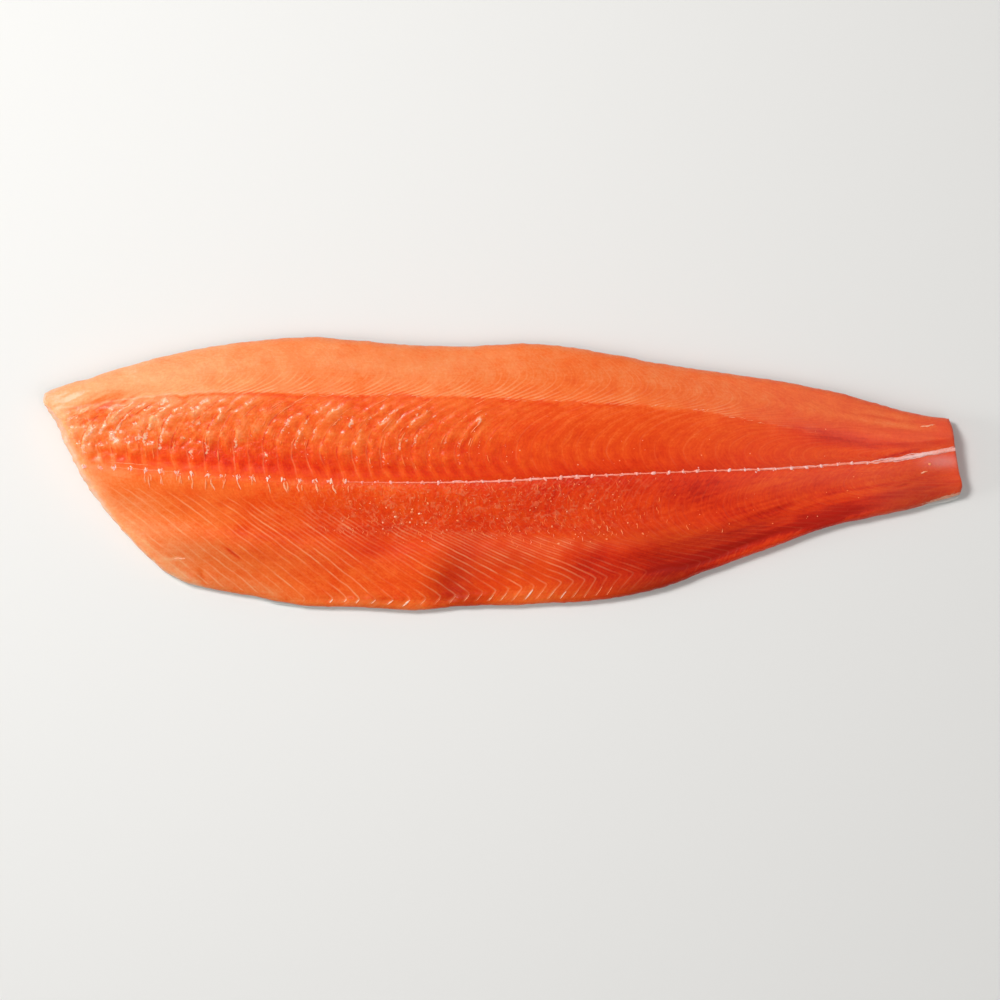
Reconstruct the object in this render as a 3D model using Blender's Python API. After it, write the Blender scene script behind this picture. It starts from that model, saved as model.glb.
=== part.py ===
"""A raw salmon fillet: one whole side of a fish, skin on, lying skin down with its flesh up.

Two solids make it: the flesh, which thins from the loin to the belly and to the tail, and the
skin, a thin layer that runs under all of it and shows along its rim.

Frame: metres, +Z up. X runs along the fish from the head cut (-X) to the tail cut (+X), and Y
runs across it from the belly edge (-Y) to the back edge (+Y). The origin is under the middle of
the fillet, on the surface that it lies on.

The fillet is described the way the fish grew: a station along X, and a share across from 0 at
the belly edge to 1 at the back edge. The knife's cuts at the head and at the tail trim it.
"""

import math
from bisect import bisect_right

import bmesh
import bpy

MM = 0.001

# ---- outline, millimetres: (along X, across Y) ----
BACK_EDGE = [
    (-250, 38.5), (-245, 43.5), (-238, 48.2), (-227, 51.2), (-206, 58.2), (-184, 64.0), (-162, 68.4),
    (-130, 72.7), (-105, 74.3), (-84, 72.8), (-46, 69.8), (-18, 69.2), (12, 70.6), (34, 69.0),
    (58, 65.2), (88, 59.6), (121, 54.7), (154, 49.8), (186, 43.3), (219, 34.0), (236, 30.6), (252, 29.0),
]
BELLY_EDGE = [
    (-256, -44), (-215, -52), (-174, -58.4), (-158, -62.0), (-135, -66.8), (-108, -71.8), (-80, -72.4),
    (-53, -74.2), (-20, -72.2), (12, -71.1), (50, -69.0), (74, -65.4), (92, -60.6), (110, -53.6),
    (132, -45.6), (154, -37.7), (176, -29.4), (198, -24.2), (219, -20.0), (240, -14.2), (252, -10.6),
]
# The cuts are given as (across Y, along X), because they run across the fish.
HEAD_CUT = [
    (-62, -166), (-58.2, -174.8), (-53.6, -183.4), (-49.3, -188.5), (-31.9, -206.4), (-14.4, -219.5),
    (3.0, -230.4), (20.4, -239.6), (29.1, -243.8), (38.8, -250.2), (46, -253),
]
TAIL_CUT = [(-16, 247.6), (-11.4, 249.4), (-7.6, 250.6), (0, 249.0), (14, 246.6), (26, 244.8), (29.4, 243.4)]

# ---- landmarks, as shares across from the belly edge to the back edge, by station along X ----
MIDLINE_SHARE = [(-240, 0.54), (-120, 0.485), (-20, 0.468), (32, 0.486), (108, 0.502), (162, 0.452), (204, 0.466), (250, 0.60)]
LOIN_SHARE = [(-240, 0.84), (-190, 0.81), (-20, 0.798), (96, 0.80), (142, 0.74), (170, 0.69), (196, 0.66), (250, 0.74)]
BELLY_SHARE = 0.24

# ---- heights of the flesh above the surface, millimetres, by station along X ----
#            station: (belly rim, belly wall, midline, loin, back rim)
SECTIONS = {
    -250: (6.0, 10.5, 17.0, 17.5, 6.5),
    -205: (6.0, 11.5, 20.5, 23.5, 7.5),
    -130: (6.0, 12.0, 22.0, 27.5, 8.0),
    -50: (6.4, 12.6, 22.2, 28.4, 8.0),
    40: (6.6, 13.2, 21.2, 26.6, 7.6),
    120: (7.0, 13.4, 18.0, 21.6, 7.2),
    185: (7.0, 12.0, 14.4, 16.0, 6.8),
    250: (6.8, 10.6, 11.8, 11.8, 6.4),
}
MIDLINE_GROOVE = 1.3
MIDLINE_GROOVE_SHARE = 0.028
LOIN_FALL_POWER = 1.45
# Soft hollows pressed into the belly wall: (X, Y, half length, half width, depth, turn in degrees)
HOLLOWS = [
    (-68, -42, 17, 7, 1.0, 8),
    (-26, -55, 10, 17, 1.4, -24),
    (45, -51, 21, 8, 1.0, 12),
    (92, -45, 27, 7, 1.1, 14),
    (150, -24, 42, 6, 0.9, 17),
]

# ---- rims, millimetres ----
RIM_ROUND = 3.0
HEAD_BEVEL = 6.5
HEAD_BEVEL_MIDDLE = 0.60
HEAD_BEVEL_SPREAD = 0.34
CUT_ROUND = 1.2
UNDER_INSET = 1.0
# How far the rim curls up off the surface, and the width of the curl.
BACK_CURL = (2.4, 17.0)
BELLY_CURL = (1.6, 15.0)
CUT_CURL = (0.7, 12.0)

SKIN_THICKNESS = 1.3
GAP = 0.3
# Where the skin reaches out past the flesh along the belly edge: (station, half length, reach)
SKIN_SHOWS = [(-121, 15, 1.3), (244, 16, 1.9)]

# ---- mesh ----
ALONG_CELLS = 66
ACROSS_CELLS = 22
RIM_CROWDING = 0.06
EDGE_SMOOTH_ANGLE = math.radians(50)

FLESH_COLOUR = (0.80, 0.115, 0.022, 1.0)
SKIN_COLOUR = (0.42, 0.44, 0.46, 1.0)


def smooth_curve(points):
    """A smooth function through (position, value) points: cubic pieces with shared slopes."""
    places = [float(place) for place, _ in points]
    values = [float(value) for _, value in points]
    steps = [(values[i + 1] - values[i]) / (places[i + 1] - places[i]) for i in range(len(points) - 1)]
    slopes = [steps[0]] + [(a + b) / 2 for a, b in zip(steps, steps[1:])] + [steps[-1]]

    def value_at(place):
        place = min(max(place, places[0]), places[-1])
        i = min(bisect_right(places, place), len(places) - 1) - 1
        width = places[i + 1] - places[i]
        t = (place - places[i]) / width
        rise = t * t * (3 - 2 * t)
        start_pull = t * (1 - t) * (1 - t) * width * slopes[i]
        end_pull = t * t * (t - 1) * width * slopes[i + 1]
        return values[i] * (1 - rise) + values[i + 1] * rise + start_pull + end_pull

    return value_at


back_y = smooth_curve(BACK_EDGE)
belly_y = smooth_curve(BELLY_EDGE)
head_x = smooth_curve(HEAD_CUT)
tail_x = smooth_curve(TAIL_CUT)
midline_share = smooth_curve(MIDLINE_SHARE)
loin_share = smooth_curve(LOIN_SHARE)
section_curves = [
    smooth_curve([(x, heights[k]) for x, heights in SECTIONS.items()]) for k in range(5)
]


def width_at(x):
    return back_y(x) - belly_y(x)


def across_at(x, share):
    """Y of the line that keeps this share across, at station x."""
    return belly_y(x) + share * width_at(x)


def trim(share, cut_x, low, high):
    """Station where the line of this share across meets a cut, found by halving."""
    for _ in range(40):
        middle = (low + high) / 2
        if middle < cut_x(across_at(middle, share)):
            low = middle
        else:
            high = middle
    return (low + high) / 2


def bump(distance):
    """A soft hump: 1 at distance 0, nearly 0 from distance 2."""
    return math.exp(-distance * distance)


def hollow_depth(x, y):
    depth = 0.0
    for cx, cy, half_x, half_y, deepest, turn in HOLLOWS:
        cos, sin = math.cos(math.radians(turn)), math.sin(math.radians(turn))
        along = ((x - cx) * cos + (y - cy) * sin) / half_x
        across = ((y - cy) * cos - (x - cx) * sin) / half_y
        depth += deepest * bump(math.hypot(along, across))
    return depth


def flesh_height(x, share):
    """Height of the flesh's upper face above the skin's underside."""
    belly_rim, belly_wall, midline, loin, back_rim = (curve(x) for curve in section_curves)
    middle, crest = midline_share(x), loin_share(x)
    if share < BELLY_SHARE:
        rise = math.sin(math.pi / 2 * share / BELLY_SHARE)
        height = belly_rim + (belly_wall - belly_rim) * rise
    elif share < middle:
        t = (share - BELLY_SHARE) / (middle - BELLY_SHARE)
        height = belly_wall + (midline - belly_wall) * t * t * (3 - 2 * t)
    elif share < crest:
        t = (share - middle) / (crest - middle)
        height = midline + (loin - midline) * t * t * (3 - 2 * t)
    else:
        t = (share - crest) / (1 - crest)
        height = loin - (loin - back_rim) * t ** LOIN_FALL_POWER
    groove = MIDLINE_GROOVE * bump((share - middle) / MIDLINE_GROOVE_SHARE)
    return height - groove - hollow_depth(x, across_at(x, share))


def curl(x, share, from_head, from_tail):
    """How far the fillet's underside has curled up at this place near its rim."""
    lift = 0.0
    edges = [
        (share * width_at(x), BELLY_CURL),
        ((1 - share) * width_at(x), BACK_CURL),
        (min(from_head, from_tail), CUT_CURL),
    ]
    for distance, (height, reach) in edges:
        lift += height * max(0.0, 1 - max(0.0, distance) / reach) ** 2
    return lift


def head_bevel(share):
    """How far the slanting cut at the head sets the upper face back from the outline."""
    away = (share - HEAD_BEVEL_MIDDLE) / HEAD_BEVEL_SPREAD
    return CUT_ROUND + (HEAD_BEVEL - CUT_ROUND) * bump(away * away)


def spread(t):
    """Positions from 0 to 1 that crowd a little towards both ends."""
    return t - RIM_CROWDING * math.sin(2 * math.pi * t)


def place(along, across, side_inset, head_inset, tail_inset, reach=None):
    """Station, Y, share and distances to the two cuts of a grid point, the rim drawn in by the insets."""
    share = spread(across)
    start = trim(share, head_x, -258, -160)
    end = trim(share, tail_x, 238, 256)
    x = start + head_inset + spread(along) * (end - tail_inset - start - head_inset)
    inset_share = side_inset / width_at(x)
    share = inset_share + share * (1 - 2 * inset_share)
    y = across_at(x, share)
    if reach:
        y -= reach(x) * max(0.0, 1 - share / 0.15)
    return x, y, share, x - start, end - x


def skin_reach(x):
    return sum(reach * bump((x - station) / half) for station, half, reach in SKIN_SHOWS)


def parameter_block(layers):
    """A block of unit size: a grid for its base, extruded into the given number of layers above it."""
    mesh = bmesh.new()
    bmesh.ops.create_grid(mesh, x_segments=ALONG_CELLS, y_segments=ACROSS_CELLS, size=0.5)
    bmesh.ops.translate(mesh, verts=mesh.verts, vec=(0.5, 0.5, 0))
    cap = list(mesh.faces)
    for layer in range(layers):
        made = bmesh.ops.extrude_face_region(mesh, geom=cap, use_keep_orig=True)["geom"]
        if layer > 0:
            bmesh.ops.delete(mesh, geom=cap, context="FACES")
        cap = [item for item in made if isinstance(item, bmesh.types.BMFace)]
        lifted = [item for item in made if isinstance(item, bmesh.types.BMVert)]
        bmesh.ops.translate(mesh, verts=lifted, vec=(0, 0, 1))
    bmesh.ops.recalc_face_normals(mesh, faces=mesh.faces)
    return mesh


def flesh_point(along, across, layer):
    """A point of the flesh. Layers: 0 underside, 1 widest ring, 2 shoulder ring, 3 upper face."""
    share = spread(across)
    bevel = head_bevel(share)
    head = (UNDER_INSET, 0.0, 0.55 * bevel, bevel)[layer]
    side = (UNDER_INSET, 0.0, 0.30 * RIM_ROUND, RIM_ROUND)[layer]
    tail = (UNDER_INSET, 0.0, 0.30 * CUT_ROUND, CUT_ROUND)[layer]
    x, y, share, from_head, from_tail = place(along, across, side, head, tail)
    lift = curl(x, share, from_head, from_tail)
    floor = SKIN_THICKNESS + GAP + lift
    top = lift + flesh_height(x, share)
    z = floor + (0.0, 0.38, 0.80, 1.0)[layer] * (top - floor)
    return x, y, z


def skin_point(along, across, layer):
    """A point of the skin. Layers: 0 underside, 1 upper face."""
    x, y, share, from_head, from_tail = place(along, across, 0.0, 0.0, 0.0, reach=skin_reach)
    return x, y, curl(x, share, from_head, from_tail) + layer * SKIN_THICKNESS


def make_piece(name, layers, point, material, collection):
    """One closed piece: a parameter block whose corners are moved to the piece's own points."""
    block = parameter_block(layers)
    for vertex in block.verts:
        along, across, layer = vertex.co
        vertex.co = [MM * value for value in point(along, across, round(layer))]
    bmesh.ops.recalc_face_normals(block, faces=block.faces)
    mesh = bpy.data.meshes.new(name)
    block.to_mesh(mesh)
    block.free()
    mesh.shade_smooth()
    mesh.set_sharp_from_angle(angle=EDGE_SMOOTH_ANGLE)
    mesh.materials.append(material)
    piece = bpy.data.objects.new(name, mesh)
    collection.objects.link(piece)
    return piece


def make_material(name, colour, roughness, metallic):
    material = bpy.data.materials.new(name)
    material.use_nodes = True
    shader = material.node_tree.nodes["Principled BSDF"]
    shader.inputs["Base Color"].default_value = colour
    shader.inputs["Roughness"].default_value = roughness
    shader.inputs["Metallic"].default_value = metallic
    return material


def main():
    for item in list(bpy.data.objects):
        bpy.data.objects.remove(item, do_unlink=True)
    collection = bpy.data.collections.new("salmon_fillet")
    bpy.context.scene.collection.children.link(collection)

    flesh_material = make_material("salmon_flesh", FLESH_COLOUR, roughness=0.30, metallic=0.0)
    skin_material = make_material("salmon_skin", SKIN_COLOUR, roughness=0.35, metallic=0.3)
    make_piece("flesh", 3, flesh_point, flesh_material, collection)
    make_piece("skin", 1, skin_point, skin_material, collection)


main()
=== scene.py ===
"""Looks of a raw salmon fillet: a whole side, skin on, lying skin down with its flesh up.

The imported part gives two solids, the flesh and the skin. Both are replaced here by fine meshes on
the same outline and the same thickness, which carry the muscle's flakes, its fat lines, the groove
of the backbone and the wet, uneven surface. Geometry Nodes add what sits on the flesh: the white
thread along the midline, the bone ends, flecks of fat and strokes of fat along the belly.

Lengths in the shape code are millimetres in the part's own frame: X along the fish from the head
cut to the tail cut, Y across it from the belly edge to the back edge, Z up. Meshes are in metres.
"""

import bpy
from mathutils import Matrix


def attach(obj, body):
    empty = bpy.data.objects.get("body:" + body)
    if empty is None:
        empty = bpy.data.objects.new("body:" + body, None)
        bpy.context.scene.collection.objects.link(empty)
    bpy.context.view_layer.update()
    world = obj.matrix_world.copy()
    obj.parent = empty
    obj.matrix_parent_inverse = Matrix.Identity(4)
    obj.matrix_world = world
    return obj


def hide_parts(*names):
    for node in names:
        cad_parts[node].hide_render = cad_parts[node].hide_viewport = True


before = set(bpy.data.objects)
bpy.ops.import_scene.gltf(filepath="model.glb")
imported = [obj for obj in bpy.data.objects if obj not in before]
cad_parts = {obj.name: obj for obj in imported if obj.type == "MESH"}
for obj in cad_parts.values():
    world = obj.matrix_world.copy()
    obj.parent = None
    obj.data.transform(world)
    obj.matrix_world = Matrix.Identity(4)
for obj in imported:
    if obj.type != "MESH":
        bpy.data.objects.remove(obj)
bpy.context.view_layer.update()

import logging
import math
from collections.abc import Iterator
from dataclasses import dataclass
from enum import Enum

import bmesh
import bpy
import numpy as np
from bpy.types import ID, ColorRamp, Material, Mesh, Node, NodeSocket, NodeTree, Object
from mathutils import Vector

log = logging.getLogger("salmon_fillet")
Array = np.ndarray

MM = 0.001
PER_METRE = 1000.0


# ------------------------------------------------------------------ small tools


def srgb(code: str) -> tuple[float, float, float, float]:
    """Turns an sRGB hex colour into linear red, green, blue and alpha.

    Args:
        code: Colour such as "#FFB27C".

    Returns:
        Linear components with alpha 1.
    """
    channels = [int(code[i : i + 2], 16) / 255 for i in (1, 3, 5)]
    linear = [c / 12.92 if c <= 0.04045 else ((c + 0.055) / 1.055) ** 2.4 for c in channels]
    return (*linear, 1.0)


def feed(tree: NodeTree, node: Node, inputs: dict) -> None:
    """Links or sets a node's inputs.

    Args:
        tree: Tree that holds the node.
        node: The node.
        inputs: Input name or number to a value, or to the output socket that feeds it.
    """
    for key, value in inputs.items():
        if isinstance(value, NodeSocket):
            tree.links.new(value, node.inputs[key])
        else:
            node.inputs[key].default_value = value


def add(tree: NodeTree, kind: str, inputs: dict | None = None, **settings) -> Node:
    """Adds a node with its settings and its inputs.

    Args:
        tree: Shader or geometry tree that gets the node.
        kind: The node's type name.
        inputs: What feeds it, as in feed.
        **settings: The node's own properties.

    Returns:
        The new node.
    """
    node = tree.nodes.new(kind)
    for name, value in settings.items():
        setattr(node, name, value)
    feed(tree, node, inputs or {})
    return node


def calc(tree: NodeTree, operation: str, *values: float | NodeSocket) -> NodeSocket:
    """Adds a math node that works on numbers or sockets, and returns its result."""
    return add(tree, "ShaderNodeMath", dict(enumerate(values)), operation=operation).outputs[0]


def mask(
    tree: NodeTree, value: NodeSocket, low: float, high: float, falls: bool = False
) -> NodeSocket:
    """Adds a smooth step between two values.

    Args:
        tree: Tree that gets the node.
        value: What the step reads.
        low: Where the step starts.
        high: Where it ends.
        falls: Whether it goes down from 1 and not up to 1.

    Returns:
        The step's result.
    """
    ends = {"From Min": low, "From Max": high, "To Min": float(falls), "To Max": float(not falls)}
    step = add(tree, "ShaderNodeMapRange", {"Value": value, **ends}, interpolation_type="SMOOTHSTEP")
    return step.outputs["Result"]


def new_material(name: str) -> tuple[Material, NodeTree, Node]:
    """Makes a material.

    Args:
        name: Its name.

    Returns:
        The material, its tree and its shader.
    """
    material = bpy.data.materials.new(name)
    material.use_nodes = True
    return material, material.node_tree, material.node_tree.nodes["Principled BSDF"]


def put(name: str, data: ID) -> Object:
    """Makes an object and links it to the scene.

    Args:
        name: Its name.
        data: The mesh, light or camera that it holds.

    Returns:
        The object.
    """
    holder = bpy.data.objects.new(name, data)
    bpy.context.scene.collection.objects.link(holder)
    return holder


def fill_ramp(ramp: ColorRamp, stops: dict[float, str]) -> None:
    """Gives a colour ramp its stops.

    Args:
        ramp: The ramp of a colour ramp node.
        stops: Position to sRGB hex colour, in rising order.
    """
    while len(ramp.elements) < len(stops):
        ramp.elements.new(1.0)
    for element, (position, code) in zip(ramp.elements, stops.items()):
        element.position = position
        element.color = srgb(code)


def smooth_step(low: float | Array, high: float | Array, value: Array) -> Array:
    """Rises smoothly from 0 at low to 1 at high; low may be above high, for a fall."""
    t = np.clip((value - low) / (high - low), 0.0, 1.0)
    return t * t * (3 - 2 * t)


def window(value: Array, start: float, full: float, fading: float, end: float) -> Array:
    """Rises smoothly from 0 at start to 1 at full, and falls from 1 at fading to 0 at end."""
    return smooth_step(start, full, value) * smooth_step(end, fading, value)


def blend(first: Array, second: Array, weight: Array) -> Array:
    """Mixes two fields: the first where the weight is 0, the second where it is 1."""
    return first + (second - first) * weight


@dataclass(frozen=True)
class Curve:
    """A smooth function through a few chosen points, flat beyond its ends."""

    points: tuple[tuple[float, float], ...]

    def __call__(self, place: Array) -> Array:
        """Reads the curve.

        Args:
            place: Positions, any shape.

        Returns:
            The curve's value at each position.
        """
        places, values = np.array(self.points, float).T
        steps = np.diff(values) / np.diff(places)
        slopes = np.concatenate(([steps[0]], (steps[1:] + steps[:-1]) / 2, [steps[-1]]))
        place = np.clip(place, places[0], places[-1])
        i = np.clip(np.searchsorted(places, place, side="right") - 1, 0, len(places) - 2)
        width = places[i + 1] - places[i]
        t = (place - places[i]) / width
        rise = t * t * (3 - 2 * t)
        pulls = t * (1 - t) ** 2 * width * slopes[i] + t**2 * (t - 1) * width * slopes[i + 1]
        return values[i] * (1 - rise) + values[i + 1] * rise + pulls

    def at(self, place: float) -> float:
        """Reads the curve at one place."""
        return float(self(np.array(place)))


def heights(*values: float) -> Curve:
    """Returns the curve of heights at eight stations from the head cut to the tail cut."""
    return Curve(tuple(zip((-250, -205, -130, -50, 40, 120, 185, 250), values)))


class SoftNoise:
    """Smooth random bumps on a plane, the same each run."""

    def __init__(self, seed: int, cells: int = 512) -> None:
        """Draws the lattice.

        Args:
            seed: Seed of the lattice.
            cells: Lattice size; the pattern repeats after so many bumps.
        """
        self.cells = cells
        self.lattice = np.random.default_rng(seed).uniform(-1.0, 1.0, (cells, cells))

    def __call__(self, x: Array, y: Array, size: float, stretch: float = 1.0) -> Array:
        """Reads the noise.

        Args:
            x: Position along the fish, millimetres.
            y: Position across it.
            size: Width of one bump across Y, millimetres.
            stretch: How many times longer a bump is along X.

        Returns:
            Values from -1 to 1.
        """
        u, v = x / (size * stretch), y / size
        i, j = np.floor(u).astype(int), np.floor(v).astype(int)
        fu, fv = (f * f * f * (f * (6 * f - 15) + 10) for f in (u - i, v - j))
        i0, i1 = i % self.cells, (i + 1) % self.cells
        j0, j1 = j % self.cells, (j + 1) % self.cells
        low = self.lattice[i0, j0] * (1 - fu) + self.lattice[i1, j0] * fu
        high = self.lattice[i0, j1] * (1 - fu) + self.lattice[i1, j1] * fu
        return low * (1 - fv) + high * fv


@dataclass(frozen=True)
class Patch:
    """A soft oval spot on the fillet: centre, half sizes, turn in degrees, and how much it adds."""

    x: float
    y: float
    half_x: float
    half_y: float
    amount: float
    turn: float = 0.0

    def __call__(self, x: Array, y: Array) -> Array:
        """Works out what the patch adds.

        Args:
            x: X of each place.
            y: Y of each place.

        Returns:
            The amount at each place.
        """
        cos, sin = math.cos(math.radians(self.turn)), math.sin(math.radians(self.turn))
        along = ((x - self.x) * cos + (y - self.y) * sin) / self.half_x
        across = ((y - self.y) * cos - (x - self.x) * sin) / self.half_y
        return self.amount * np.exp(-(along**2) - across**2)


# ------------------------------------------------------------------ the fillet's form


@dataclass(frozen=True)
class FilletForm:
    """Outline, landmarks and thickness of the fillet, as the CAD solids have them."""

    back_edge: Curve = Curve((
        (-250, 43.6), (-245, 46.0), (-238, 48.4), (-227, 51.4), (-206, 58.2), (-184, 64.0),
        (-162, 68.4), (-130, 72.7), (-105, 74.3), (-84, 72.8), (-46, 69.8), (-18, 69.2), (12, 70.6),
        (34, 69.0), (58, 65.2), (88, 59.6), (121, 54.7), (154, 49.8), (186, 43.3), (219, 34.0),
        (236, 30.6), (252, 29.0),
    ))
    belly_edge: Curve = Curve((
        (-256, -44), (-215, -52), (-174, -59.2), (-158, -62.9), (-135, -66.8), (-108, -71.8),
        (-80, -72.4), (-53, -74.2), (-20, -72.2), (12, -71.1), (50, -69.0), (74, -65.4),
        (92, -60.6), (110, -53.6), (132, -45.6), (154, -37.7), (176, -29.4), (198, -24.2),
        (219, -20.0), (240, -14.2), (252, -10.6),
    ))
    head_cut: Curve = Curve((
        (-62, -166), (-58.2, -174.8), (-53.6, -183.4), (-49.3, -188.5), (-31.9, -206.4),
        (-14.4, -220.8), (3.0, -231.7), (20.4, -240.0), (29.1, -243.8), (38.8, -250.1),
        (43, -249.9), (48, -247.5),
    ))
    tail_cut: Curve = Curve((
        (-16, 247.6), (-11.4, 249.4), (-7.6, 250.6), (0, 249.0), (14, 246.6), (26, 244.8),
        (29.4, 243.4),
    ))
    # Lines that divide the muscle, from the back to the belly.
    loin_line: Curve = Curve((
        (-245, 35.0), (-230, 36.2), (-196, 40.6), (-137, 43.3), (-94, 42.4), (-12, 40.8),
        (60, 37.4), (96, 35.2), (142, 27.4), (169, 21.8), (196, 17.4), (225, 17.2), (250, 20.0),
    ))
    midline: Curve = Curve((
        (-250, 4.6), (-219, 3.4), (-164, -0.4), (-110, -3.6), (-84, -4.6), (-1, -4.2), (32, -2.2),
        (108, 1.3), (162, 3.1), (190, 5.6), (204, 6.1), (225, 9.6), (247, 13.4),
    ))
    wall_line: Curve = Curve((
        (-250, -4), (-208, -9), (-164, -14.4), (-110, -20), (-66, -26.4), (-12, -31), (32, -34),
        (64, -35.6), (108, -32.5), (162, -21), (217, -7), (250, 1),
    ))
    turn_line: Curve = Curve((
        (-250, -76), (-180, -74), (-104, -68.2), (-45, -68.0), (-10, -64.5), (17, -61.3),
        (34, -59.2), (56, -56.4), (71, -54.2), (86, -52.4), (101, -50.0), (115, -46.0),
        (130, -39.8), (151, -32), (167, -29), (180, -25.5), (195, -21), (228, -12.5), (250, -7),
    ))
    # Heights above the underside at the belly rim, belly wall, midline, loin and back rim.
    belly_rim_height: Curve = heights(6.0, 6.0, 6.0, 6.4, 6.6, 7.0, 7.0, 6.8)
    belly_wall_height: Curve = heights(10.5, 11.5, 12.0, 12.6, 13.2, 13.4, 12.0, 10.6)
    midline_height: Curve = heights(17.0, 20.5, 22.0, 22.2, 21.2, 18.0, 14.4, 11.8)
    loin_height: Curve = heights(17.5, 23.5, 27.5, 28.4, 26.6, 21.6, 16.0, 11.8)
    back_rim_height: Curve = heights(6.5, 7.5, 8.0, 8.0, 7.6, 7.2, 6.8, 6.4)
    belly_share: float = 0.24
    fall_power: float = 1.45
    groove_depth: Curve = Curve(((-250, 0.2), (-95, 0.4), (-40, 0.8), (150, 0.9), (250, 0.6)))
    groove_half_width: float = 2.2
    hollows: tuple[Patch, ...] = (
        Patch(-68, -42, 17, 7, 1.0, 8), Patch(-26, -55, 10, 17, 1.4, -24),
        Patch(45, -51, 21, 8, 1.0, 12), Patch(92, -45, 27, 7, 1.1, 14),
        Patch(150, -24, 42, 6, 0.9, 17),
    )
    # Rims and underside.
    back_curl: tuple[float, float] = (2.4, 17.0)
    belly_curl: tuple[float, float] = (1.6, 15.0)
    cut_curl: tuple[float, float] = (0.7, 12.0)
    skin_thickness: float = 1.3
    gap: float = 0.3
    # Stations between which each cut is looked for.
    head_range: tuple[float, float] = (-258.0, -160.0)
    tail_range: tuple[float, float] = (238.0, 256.0)

    def width(self, x: Array) -> Array:
        """Returns the uncut fish's width at stations x."""
        return self.back_edge(x) - self.belly_edge(x)

    def across_at(self, x: Array, share: Array) -> Array:
        """Returns Y of the line that keeps this share across, 0 at the belly edge and 1 at the back."""
        return self.belly_edge(x) + share * self.width(x)

    def share_at(self, x: Array, y: Array) -> Array:
        """Returns the share across of places x, y."""
        return (y - self.belly_edge(x)) / self.width(x)

    def trim(self, share: Array, cut: Curve, low: float, high: float) -> Array:
        """Finds where lines of equal share meet a cut, by halving.

        Args:
            share: Shares across.
            cut: The cut, as station by Y.
            low: Station before the cut.
            high: Station after it.

        Returns:
            The station of the cut on each line.
        """
        halvings = 40
        low, high = np.full(share.shape, low), np.full(share.shape, high)
        for _ in range(halvings):
            middle = (low + high) / 2
            before = middle < cut(self.across_at(middle, share))
            low, high = np.where(before, middle, low), np.where(before, high, middle)
        return (low + high) / 2

    def height(self, x: Array, y: Array) -> Array:
        """Works out the smooth height of the flesh's upper face above the underside.

        Args:
            x: X of each place.
            y: Y of each place.

        Returns:
            The height at each place, in millimetres.
        """
        share = self.share_at(x, y)
        middle = self.share_at(x, self.midline(x))
        crest = self.share_at(x, self.loin_line(x))
        rim, wall, mid = self.belly_rim_height(x), self.belly_wall_height(x), self.midline_height(x)
        loin, back = self.loin_height(x), self.back_rim_height(x)
        rise = np.sin(np.pi / 2 * np.clip(share / self.belly_share, 0, 1))
        height = rim + (wall - rim) * rise
        height += (mid - wall) * smooth_step(self.belly_share, middle, share)
        height += (loin - mid) * smooth_step(middle, crest, share)
        fall = np.clip((share - crest) / (1 - crest), 0, 1)
        height -= (loin - back) * fall**self.fall_power
        groove = (y - self.midline(x)) / self.groove_half_width
        height -= self.groove_depth(x) * np.exp(-(groove**2))
        for hollow in self.hollows:
            height -= hollow(x, y)
        return height

    def curl(self, x: Array, y: Array, from_cut: Array) -> Array:
        """Returns how far the underside curls up near the rim.

        Args:
            x: Stations.
            y: Places across.
            from_cut: Distance to the nearer cut.

        Returns:
            Lift in millimetres.
        """
        lift = np.zeros_like(x)
        distances = (
            (y - self.belly_edge(x), self.belly_curl),
            (self.back_edge(x) - y, self.back_curl),
            (from_cut, self.cut_curl),
        )
        for distance, (height, reach) in distances:
            lift += height * np.clip(1 - np.maximum(distance, 0) / reach, 0, 1) ** 2
        return lift


# ------------------------------------------------------------------ the muscle's pattern


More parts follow.
